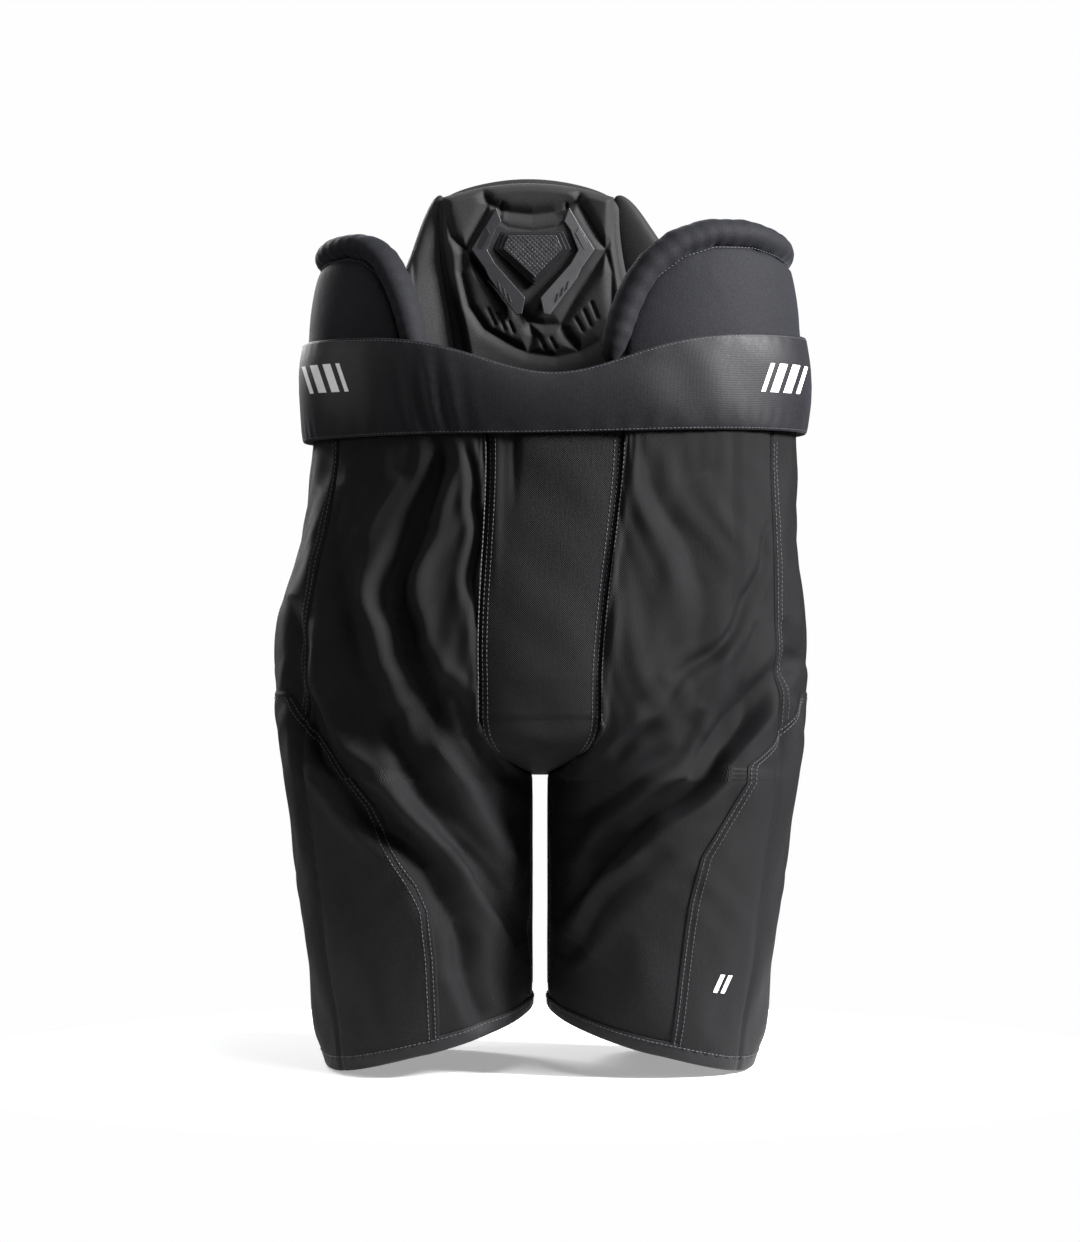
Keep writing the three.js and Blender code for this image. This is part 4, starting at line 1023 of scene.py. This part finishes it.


# ---- Badge and trims ----------------------------------------------------------------------------
# Moulded plastic set into the field: a five sided badge with a woven fibre pattern in a raised frame, and a
# two armed trim that makes a V below it. The trim is one material, painted as a lit pale copy on the
# wearer's left and a shaded dark copy on the right. They carry no mark.
def plate(name, outline, y_back, thickness, material, round_off=0.5, slant=0.0):
    """A flat plate: the outline (x, z) at the back, the same in front, closed across and bevelled."""
    outline = np.asarray(outline, float)
    count = len(outline)
    drop = slant * (outline[:, 0] - outline[:, 0].mean())
    back = np.column_stack([outline[:, 0], np.full(count, y_back) + drop, outline[:, 1]])
    front = back - [0, thickness, 0]
    order = np.arange(count)
    after = np.roll(order, -1)
    around = [[int(a), int(b), int(b + count), int(a + count)] for a, b in zip(order, after)]
    mesh = bpy.data.meshes.new(name)
    mesh.from_pydata((np.concatenate([back, front]) / 1000).tolist(), [],
                     [order.tolist(), (order[::-1] + count).tolist()] + around)
    made = bmesh.new()
    made.from_mesh(mesh)
    bmesh.ops.recalc_face_normals(made, faces=made.faces)
    made.to_mesh(mesh)
    made.free()
    mesh.materials.append(material)
    piece = bpy.data.objects.new(name, mesh)
    scene.collection.objects.link(piece)
    edge = piece.modifiers.new("edge", "BEVEL")
    edge.width, edge.segments, edge.limit_method, edge.harden_normals = round_off / 1000, 3, "ANGLE", False
    return piece


def fibre(place, surface):
    """Two by two twill of flat tows under clear resin: diagonal steps of light and dark squares."""
    a = (place.part(0) * (2 * math.pi / 0.0036)).sine()
    b = (place.part(2) * (2 * math.pi / 0.0036)).sine()
    twill = (a * b * 3.0 + 0.5).most(0.0).least(1.0)
    threads = (place.part(0) * (2 * math.pi / 0.0006)).sine() * (1 - twill) + (place.part(2)
        * (2 * math.pi / 0.0006)).sine() * twill
    scuffs = place.noise(240.0, 4.0)
    return {"Base Color": (twill * 0.6 + scuffs * 0.3).tint((0.003, 0.003, 0.004), (0.034, 0.034, 0.038)),
            "Roughness": 0.20 + scuffs * 0.25 - twill * 0.05,
            "Bump": (twill * 0.0002 + threads * 0.00004, 0.6)}


def plastic(dark, light, rough, grain=900.0):
    """Moulded plastic: fine even grain, a few scuffs and paler, smoother rubbed patches."""
    def paint(place, surface):
        fine = place.noise(grain, 2.0)
        scuffs = place.noise(70.0, 5.0, 0.65)
        return {"Base Color": (fine * 0.25 + scuffs * 0.6).tint(dark, light),
                "Roughness": rough + fine * 0.12 - scuffs * 0.10,
                "Bump": (fine * 0.00006 + scuffs * 0.0002, 0.5)}
    return paint


badge_paint = finish("badge_plastic",
                     {"Specular IOR Level": 0.5, "Coat Roughness": 0.15, "Coat Weight": 0.35}, fibre)
frame_paint = finish("badge_frame_plastic", {"Specular IOR Level": 0.5},
                     plastic((0.004, 0.004, 0.0045), (0.018, 0.018, 0.020), 0.28))
# A pale, partly metallic copy of the trim plastic, painted light: how the trim looks lit on the wearer's
# left.
lit_trim_paint = finish("trim_painted_lit", {"Metallic": 0.55, "Specular IOR Level": 0.6},
                      plastic((0.055, 0.055, 0.058), (0.17, 0.17, 0.18), 0.32))
# A dark copy of the same trim plastic, painted shade: how the trim looks on the wearer's right.
shaded_trim_paint = finish("trim_painted_shade", {"Specular IOR Level": 0.5},
                         plastic((0.006, 0.006, 0.007), (0.030, 0.030, 0.034), 0.32))

shield = np.array([(-28.5, 629.6), (17.5, 629.9), (23.5, 616.5), (-3.0, 589.0), (-33.5, 617.0)]) + [-0.5,
    0.5]
middle = shield.mean(0)
badge_frame = plate("badge_frame_molded", middle + (shield - middle) * 1.04, 81.9, 2.6, frame_paint, 0.8)
badge_step = plate("badge_step", middle + (shield - middle) * 0.92, 79.4, 1.6, frame_paint, 0.5)
badge = plate("badge_molded", middle + (shield - middle) * 0.80, 78.0, 1.6, badge_paint, 0.4)
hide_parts("badge_frame")
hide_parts("badge")
for piece in (badge_frame, badge_step, badge):
    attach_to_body(piece, "trunk")

arm = np.array([(22.6, 649.1), (29.5, 637.0), (42.0, 616.8), (31.5, 601.8), (28.2, 594.6), (7.4, 566.4),
                (2.9, 567.2),
                (0.3, 579.7), (23.6, 606.0), (29.4, 616.2), (23.2, 631.9), (18.6, 638.3)])
for hand, side in sides:
    outline = arm if side > 0 else arm * [-1, 1] + [-11.0, 0]
    # Painted light and shade: the lit side takes the pale copy, the other side takes the dark copy.
    paint = lit_trim_paint if side > 0 else shaded_trim_paint
    trim = plate(f"spine_trim_molded_{hand}", outline, 81.2, 3.6, paint, 0.7, slant=-0.05 * side)
    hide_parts(f"spine_trim_{hand}")
    window = np.array([(30.0, 634.0), (39.0, 617.4), (33.6, 616.6), (27.4, 629.0)])
    slots = [np.array([(12.5, 582), (14.5, 584), (12.9, 577), (10.9, 575.4)]) + [k * 4.0,
        k * 4.6] for k in range(3)]
    inlays = [window] + slots
    for k, corners in enumerate(inlays):
        corners = corners if side > 0 else corners * [-1, 1] + [-11.0, 0]
        # The window on the lit arm takes the pale painted-lit copy; the other inlays take the frame plastic.
        inlay = plate(f"trim_inlay_{hand}_{k}", corners,
                      78.3 - 0.05 * (abs(corners[:, 0].mean() + (0 if side > 0 else 11)) - 22), 0.95,
                      lit_trim_paint if side > 0 and k == 0 else frame_paint, 0.25)
        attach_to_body(inlay, "trunk")
    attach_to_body(trim, "trunk")


# ---- Foam pads and hard plates inside the shell --------------------------------------------------
# Closed cell foam over the hips, the tailbone and the fronts of the thighs, each with a moulded plastic
# plate on its outside. They hang between the shell and the lining, sewn in along their edges.
def foam_cells(place, surface):
    """Closed cell foam: small round cells and a skin with dents."""
    cells = place.make("ShaderNodeTexVoronoi", {"feature": "F1"}, {"Vector": place, "Scale": 700.0})
    dents = place.noise(40.0, 4.0)
    return {"Base Color": (cells * 0.5 + dents * 0.5).tint((0.060, 0.060, 0.064), (0.150, 0.150, 0.155)),
            "Roughness": 0.82 + cells * 0.12,
            "Bump": (cells * 0.0003 + dents * 0.0012, 0.6)}


foam_paint = finish("foam", {"Specular IOR Level": 0.25}, foam_cells)
plate_paint = finish("hard_plate", {"Specular IOR Level": 0.45},
                     plastic((0.009, 0.009, 0.010), (0.030, 0.030, 0.033), 0.34))


def slotted(along, height, across_count, up_count):
    """Dents in a grid of rounded cells, which stiffen a moulded plate."""
    cell = np.abs(np.sin(np.pi * along * across_count)) * np.abs(np.sin(np.pi * height * up_count))
    return smooth(cell, 0.45, 0.75)


def inner_pad(name, place_at, plate_at, nodes, spot, attach):
    """A foam pad, with grooves pressed into it so that it bends, and its plate with a grid of dents."""
    def pad_shape(along, height, depth):
        groove = np.exp(-(((height - 0.36) / 0.018) ** 2)) + np.exp(-(((height - 0.68) / 0.018) ** 2))
        full = 1.2 * np.sin(np.pi * along) * np.sin(np.pi * height) - 2.0 * groove
        return place_at(along, height, 10.6 + 10.4 * depth - full * (1 - depth) + 0.3 * full * depth)

    def plate_shape(along, height, depth):
        return plate_at(along, height, 7.6 + 2.0 * depth + 1.3 * slotted(along, height, 4, 5))

    for label, shape, paint, node, slot, size in (("foam", pad_shape, foam_paint, nodes[0], "foam",
                                                   (64, 56)),
                                                  ("shield", plate_shape, plate_paint, nodes[1],
                                                   "hard_plate", (90, 96))):
        piece = closed(grid_mesh(f"{name}_{label}",
                                 rounded_slab(shape, size[0], size[1], crisp=0.35, ends=3.2),
                                 paint, loop_up=True, centre=spot))
        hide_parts(node)
        attach(piece)


for hand, side in sides:
    def hip_at(along, height, inset, side=side):
        level = 260 + 193 * height
        reach = 0.27 + (0.37 - 0.27) * smooth(level, 258, 455)
        return body(side, -reach + 2 * reach * along, level, inset)

    def hip_plate_at(along, height, inset, side=side):
        level = 274 + 165 * height
        reach = 0.21 + (0.31 - 0.21) * smooth(level, 272, 441)
        return body(side, -reach + 2 * reach * along, level, inset)

    inner_pad(f"hip_pad_{hand}", hip_at, hip_plate_at, (f"hip_pad_{hand}", f"hip_plate_{hand}"),
              (side * 160, 0, 355),
              lambda piece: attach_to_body(piece, "trunk"))
    inner_pad(f"thigh_pad_{hand}",
              lambda a, h, inset, side=side: body(side, -0.79 + 0.42 * a, 24 + 205 * h, inset),
              lambda a, h, inset, side=side: body(side, -0.74 + 0.32 * a, 38 + 177 * h, inset),
              (f"thigh_pad_{hand}", f"thigh_plate_{hand}"), (side * 88, -90, 120),
              lambda piece, side=side: bend(piece, side))


def back_at(half_angle, bottom, height_span):
    def place(along, height, inset):
        angle = np.pi / 2 + np.radians(half_angle) * (1 - 2 * along)
        z = bottom + height_span * height
        x, y = oval(angle, half_width(z) - inset, profile(z, front_depths) - inset,
                    profile(z, back_depths) - inset, 0.83)
        return np.stack([x + sway * smooth(z, hip, waist), y, z], -1)
    return place


inner_pad("tailbone_pad", back_at(29.5, 320, 131), back_at(23, 334, 103),
          ("tailbone_pad", "tailbone_plate"), (0, 100, 385),
          lambda piece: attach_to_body(piece, "trunk"))


def spine_shield(along, height, depth):
    angle = 105 - 30 * along
    z = 548 + 99 * height
    return lean(collar(angle, z, -3.0 + 2.2 * depth + 1.2 * slotted(along, height, 4, 4)))


shield_piece = closed(grid_mesh("spine_shield", rounded_slab(spine_shield, 80, 80, crisp=0.35, ends=3.2),
                                plate_paint,
                                loop_up=True, centre=(0, 105, 598)))
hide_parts("spine_plate")
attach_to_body(shield_piece, "trunk")


# ---- Linings ------------------------------------------------------------------------------------
# Thin open knit, loose inside the trunk and inside each leg, which keeps the pads off the skin.
def open_knit(place, surface):
    """Tricot with rows of small holes: darker in the holes, some shine on the yarn from the sheen and from
    pale stripes painted into the colour as a highlight, slow stains of wear.
    """
    u, v = surface.part(0), surface.part(1)
    holes = ((u * (2 * math.pi / 0.0030)).sine() * (v * (2 * math.pi / 0.0026)).sine()).most(0.0)
    yarn = ((u + v) * (2 * math.pi / 0.0007)).sine() * 0.5 + 0.5
    slow = place.noise(18.0, 4.0)
    # The yarn stripes lighten the base colour as a painted highlight.
    return {"Base Color": (1.0 - holes * 0.9).least(slow * 0.7 + yarn * 0.35).tint((0.012, 0.010, 0.009),
        (0.085, 0.070, 0.058)),
            "Roughness": 0.72 + slow * 0.2,
            "Bump": (yarn * 0.0001 - holes * 0.0004 + slow * 0.001, 0.6)}


lining_paint = finish("lining_mesh", {"Specular IOR Level": 0.25, "Sheen Weight": 0.15}, open_knit)
angle, level = np.meshgrid(np.linspace(0, 2 * np.pi, 300, endpoint=False), np.linspace(318, 469, 64))
crumple = 0.7 * np.sin(angle * 17 + level / 22) + 0.6 * np.sin(angle * 31 - level / 13)
loose = 23.6 + crumple
x, y = oval(angle, half_width(level) - loose, profile(level, front_depths) - loose,
            profile(level, back_depths) - loose, 0.83)
trunk_lining = grid_mesh("trunk_lining_knit",
                         np.stack([x + sway * smooth(level, hip, waist), y, level], -1), lining_paint,
                         loop_across=True, centre=(0, 0, 390))
thicken(trunk_lining, 1.0)
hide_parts("trunk_lining")
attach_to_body(trunk_lining, "trunk")

for hand, side in sides:
    around, level = np.meshgrid(np.linspace(-1, 1, 240, endpoint=False), np.linspace(3, 214, 84))
    loose = 23.0 - 18.5 * np.exp(-level / 7) - 4.0 * smooth(level, 150,
                                                            214) + 0.7 * np.sin(around * 40 + level / 17)
    lining = grid_mesh(f"leg_lining_knit_{hand}", body(side, around, level, loose), lining_paint,
                       loop_across=True,
                       centre=(side * 88, 0, 100))
    thicken(lining, 1.0)
    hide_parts(f"leg_lining_{hand}")
    bend(lining, side)


# ---- Waist strap and buckle ---------------------------------------------------------------------
# Ribbed nylon webbing behind the belt, sewn in at the sides, closed in front by a side release buckle: a
# hollow socket on the wearer's left, and a plug whose two prongs snap into it.
def ribs(place, surface):
    """Webbing: lengthwise ribs with a herringbone of threads across them."""
    u, v = surface.part(0), surface.part(1)
    rib = (v * (2 * math.pi / 0.0016)).sine() * 0.5 + 0.5
    twist = ((u + v.size() * 0.6) * (2 * math.pi / 0.0010)).sine() * 0.5 + 0.5
    worn = place.noise(45.0, 4.0)
    return {"Base Color": (rib * 0.35 + twist * 0.3 + worn * 0.35).tint((0.006, 0.006, 0.0065),
        (0.040, 0.040, 0.043)),
            "Roughness": 0.62 + worn * 0.2, "Bump": (rib * 0.00030 + twist * 0.00015, 0.7)}


webbing_paint = finish("webbing", {"Specular IOR Level": 0.35, "Sheen Weight": 0.2}, ribs)
buckle_paint = finish("buckle_plastic", {"Specular IOR Level": 0.5},
                      plastic((0.008, 0.008, 0.0085), (0.030, 0.030, 0.032), 0.36, 1500.0))
for hand, side in sides:
    def strap_place(along, height, depth, side=side):
        angle = -77.6 + 137 * along
        z = 477.9 + 24.8 * height
        return waist_ring(np.where(side > 0, angle, 180 - angle), z, 28.5 + 1.8 * depth) - [sway, 0, 0] \
            + np.stack([sway * smooth(np.abs(side * along), 0.05, 0.6), 0 * z, 0 * z], -1)

    strap = closed(grid_mesh(f"strap_{hand}", rounded_slab(strap_place, 160, 28, crisp=0.3, ends=6),
                             webbing_paint, loop_up=True,
                             centre=(side * 120, 0, 490)))
    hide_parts(f"belt_strap_{hand}")
    if side > 0:
        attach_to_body(strap, "trunk")
    else:
        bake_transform(strap)

socket_low, socket_high = (np.array(corner) * 1000 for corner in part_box("buckle_socket"))
plug_low, plug_high = (np.array(corner) * 1000 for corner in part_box("buckle_plug"))
middle_z = (socket_low[2] + socket_high[2]) / 2


def shell_box(name, low, high, crisp, paint, body_name, columns=40, rows=36, waist_in=0.0):
    """A moulded body between two corners: its section is a rounded loop, and its ends are rounded too."""
    def place(along, height, depth):
        pinch = waist_in * np.sin(np.pi * along) ** 2 * (2 * height - 1)
        return np.stack([low[0] + (high[0] - low[0]) * along, low[1] + (high[1] - low[1]) * (1 - depth),
                         low[2] + (high[2] - low[2]) * height - pinch], -1)
    piece = closed(grid_mesh(name, rounded_slab(place, columns, rows, crisp=crisp, ends=4), paint,
                             loop_up=True,
                             centre=(np.array(low) + np.array(high)) / 2))
    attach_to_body(piece, body_name)
    return piece


socket = shell_box("socket_body", [socket_low[0], socket_low[1], socket_low[2] + 1],
                   [22, socket_high[1], socket_high[2] - 1], 0.3,
                   buckle_paint, "trunk", waist_in=4.0)
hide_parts("buckle_socket")
for k, (x0, x1) in enumerate(((24.6, 26.6), (28.6, 30.8))):
    shell_box(f"socket_bar_{k}", [x0, -91.0, socket_low[2] + 2], [x1, -86.6, socket_high[2] - 2], 0.5,
              buckle_paint,
              "trunk", 16, 20)
for k, z0 in enumerate((socket_low[2] + 1, socket_high[2] - 4)):
    shell_box(f"socket_rail_{k}", [18, -91.2, z0], [31, -86.4, z0 + 3], 0.5, buckle_paint,
              "trunk", 20, 16)
plug = shell_box("plug_body", [-18, plug_low[1] + 0.1, plug_low[2] + 1],
                 [-5.2, plug_high[1] - 0.1, plug_high[2] - 1], 0.32,
                 buckle_paint, "buckle_plug")
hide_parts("buckle_plug")
for k, z0 in enumerate((plug_low[2] + 1, plug_high[2] - 4)):
    shell_box(f"plug_rail_{k}", [-31, plug_low[1] + 0.2, z0], [-15, plug_high[1] - 0.2, z0 + 3], 0.5,
              buckle_paint, "buckle_plug", 20, 16)
shell_box("plug_bar", [-30.6, plug_low[1] + 0.3, plug_low[2] + 2],
          [-28.4, plug_high[1] - 0.3, plug_high[2] - 2], 0.5, buckle_paint,
          "buckle_plug", 16, 20)
for k, z0 in enumerate((middle_z - 11, middle_z - 1.5, middle_z + 8)):
    shell_box(f"plug_prong_{k}", [-8, -89.6, z0], [21 if k != 1 else 16, -87.4, z0 + 3], 0.5, buckle_paint,
              "buckle_plug", 24, 16)


# ---- Inner thigh zips ---------------------------------------------------------------------------
# A moulded tooth zip down the inside of each thigh, behind the inseam, which lets the leg open over a
# skate. Woven tape with a corded edge, two rows of teeth that mesh, a coated zinc slider and its pull.
def tape_weave(place, surface):
    twill = ((surface.part(0) + surface.part(1)) * (2 * math.pi / 0.0011)).sine() * 0.5 + 0.5
    worn = place.noise(70.0, 4.0)
    return {"Base Color": (twill * 0.4 + worn * 0.5).tint((0.016, 0.013, 0.011), (0.080, 0.064, 0.050)),
            "Roughness": 0.6 + worn * 0.2, "Bump": (twill * 0.0002 + worn * 0.0003, 0.6)}


tape_paint = finish("zip_fabric", {"Specular IOR Level": 0.3}, tape_weave)
tooth_paint = finish("zip_teeth_plastic", {"Specular IOR Level": 0.5},
                     plastic((0.010, 0.0095, 0.009), (0.045, 0.042, 0.040), 0.34))
metal_paint = finish("slider_metal", {"Metallic": 0.85, "Specular IOR Level": 0.5},
                     plastic((0.030, 0.030, 0.032), (0.16, 0.16, 0.165), 0.32, 1400.0))
zip_across, zip_low, tape_half = 0.811, 34.0, 8
slider_drop = 5.5  # mm down the zip, to where the slider's body and the pull's hinge are
for hand, side in sides:
    low = body(side, zip_across, zip_low)
    top = body(side, zip_across, leg_top)
    up = (top - low) / np.linalg.norm(top - low)
    across = body(side, zip_across + tape_half / round_leg, zip_low) - low
    across -= up * (across @ up)
    across /= np.linalg.norm(across)
    out = np.cross(across, up)
    out *= np.sign(out[1])
    length = np.linalg.norm(top - low)

    def on_zip(outward, sideways, upward):
        parts = np.broadcast_arrays(outward, sideways, upward)
        return low + parts[0][..., None] * out + parts[1][..., None] * across + parts[2][..., None] * up

    s, h = np.meshgrid(np.linspace(-8, 8, 41), np.linspace(-22, length - 4, 120))
    cord = 0.9 * np.exp(-(((np.abs(s) - 3.4) / 0.7) ** 2)) + 0.35 * np.exp(-(((np.abs(s)
        - 7.4) / 0.5) ** 2))
    # The tape sinks into the seam along both its edges.
    shape = on_zip(1.0 + cord - 1.6 * smooth(np.abs(s), 6.6, 8.0) + 0.2 * np.sin(h / 9 + s), s, h)
    tape = grid_mesh(f"zip_tape_woven_{hand}", shape, tape_paint, centre=(side * 88, 0, 100))
    thicken(tape, 0.9)
    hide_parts(f"zip_tape_{hand}")
    bend(tape, side)

    # One tooth is a small rounded block; the two rows stand half a pitch apart and reach past the middle.
    pitch = 2.6
    count = int((length - 4 + 18) / (pitch / 2))
    heights = -18 + np.arange(count) * pitch / 2
    hands = np.where(np.arange(count) % 2 == 0, 1.0, -1.0)
    corner_out = np.array([0.2, 0.2, 0.2, 0.2, 1.9, 1.9, 1.9, 1.9])
    corner_side = np.array([-0.7, 3.0, 3.0, -0.7, -0.4, 2.7, 2.7, -0.4])
    corner_up = np.array([-0.8, -0.6, 0.6, 0.8, -0.6, -0.45, 0.45, 0.6])
    teeth = on_zip(1.0 + corner_out[None] + 0 * heights[:, None], hands[:, None] * corner_side[None],
                   heights[:, None] + corner_up[None])
    block = np.array([(0, 3, 2, 1), (4, 5, 6, 7), (0, 1, 5, 4), (1, 2, 6, 5), (2, 3, 7, 6), (3, 0, 4, 7)])
    faces = (block[None] + 8 * np.arange(count)[:, None, None]).reshape(-1, 4)
    mesh = bpy.data.meshes.new(f"zip_teeth_rows_{hand}")
    mesh.from_pydata((teeth.reshape(-1, 3) / 1000).tolist(), [], faces.tolist())
    made = bmesh.new()
    made.from_mesh(mesh)
    bmesh.ops.recalc_face_normals(made, faces=made.faces)
    made.to_mesh(mesh)
    made.free()
    mesh.materials.append(tooth_paint)
    rows = bpy.data.objects.new(mesh.name, mesh)
    scene.collection.objects.link(rows)
    edge = rows.modifiers.new("edge", "BEVEL")
    edge.width, edge.segments = 0.00022, 1
    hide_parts(f"zip_teeth_{hand}")
    bend(rows, side)

    def zip_part(name, x, y, z, crisp, body_name, narrow=0.0, hole=0.0):
        """A cast part between limits outward, sideways and upward; narrow tapers it towards its lower end,
        and hole thins its middle. All are lowered by slider_drop, so the pull turns about its top end."""
        z = (z[0] - slider_drop, z[1] - slider_drop)
        def place(along, height, depth):
            half = (y[1] - y[0]) / 2 * (1 - narrow * (1 - along))
            thin = hole * np.exp(-(((along - 0.28) / 0.16) ** 2) - (((height - 0.5) / 0.22) ** 2))
            return on_zip(x[0] + (x[1] - x[0]) * (0.5 + (depth - 0.5) * (1 - thin)),
                          (2 * height - 1) * half, z[0] + (z[1] - z[0]) * along)
        piece = closed(grid_mesh(name, rounded_slab(place, 44, 36, crisp=crisp, ends=3), metal_paint,
                                 loop_up=True,
                                 centre=low + out * (x[0] + x[1]) / 2 + up * (z[0] + z[1]) / 2))
        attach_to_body(piece, body_name)
        return piece

    slider_body = f"zip_slider_{hand}"
    upper = zip_part(f"slider_top_{hand}", (3.3, 4.4), (-4.6, 4.6), (0, 13), 0.35, slider_body, narrow=0.28)
    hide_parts(f"zip_slider_{hand}")
    zip_part(f"slider_bridge_{hand}", (4.2, 6.9), (-1.1, 1.1), (3.5, 12.4), 0.5, slider_body)
    pull = zip_part(f"pull_tab_{hand}", (5.3, 6.5), (-3.0, 3.0), (-11, 10.4), 0.4, f"zip_pull_{hand}",
                    narrow=-0.15, hole=0.6)
    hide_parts(f"zip_pull_{hand}")


# ---- Inseam tape and thigh print ----------------------------------------------------------------
# A brown woven tape covers the inseam of each thigh in front of the zip, and two plain pale bars are printed
# low on the left cap.
brown_paint = finish("inseam_tape", {"Specular IOR Level": 0.25}, lambda place, surface: {
    "Base Color": ((surface.part(1) * 3600).sine() * 0.25 + place.noise(300.0, 3.0)).tint((0.010, 0.006,
        0.004), (0.050, 0.030, 0.020)),
    "Roughness": 0.6 + place.noise(400.0) * 0.2,
    "Bump": ((surface.part(0) * 3600).sine() * (surface.part(1) * 3600).sine() * 0.00012, 0.6)})
for hand, side in sides:
    share, level = np.meshgrid(np.linspace(-1, 1, 9), np.linspace(24, 214, 110))
    tape = grid_mesh(f"inseam_tape_{hand}",
                     cloth(side, -0.985 + 0.012 * share, level,
                           0.25 * smooth(1 - np.abs(share), 0, 0.3) + 0.1),
                     brown_paint, centre=(side * 88, 0, 100))
    thicken(tape, 0.3)
    bend(tape, side)

print_paint = finish("pale_print", {"Specular IOR Level": 0.4}, lambda place, surface: {
    "Base Color": place.noise(700.0, 3.0).tint((0.55, 0.55, 0.56), (0.80, 0.80, 0.81)),
    "Roughness": 0.45 + place.noise(500.0) * 0.2,
    "Bump": ((surface.part(0) * 4200).sine() * (surface.part(1) * 4200).sine() * 0.00008, 0.5)})
for k in range(2):
    share, level = np.meshgrid(np.linspace(0, 1, 6), np.linspace(57, 57 + 14, 12))
    across = -0.372 + 0.026 * k + 0.014 * share + 0.0013 * (level - 57)
    bar = grid_mesh(f"thigh_print_{k}", cloth(1, across, level, 1.55), print_paint, centre=(88, 0, 64))
    thicken(bar, 0.15)
    bend(bar, 1)
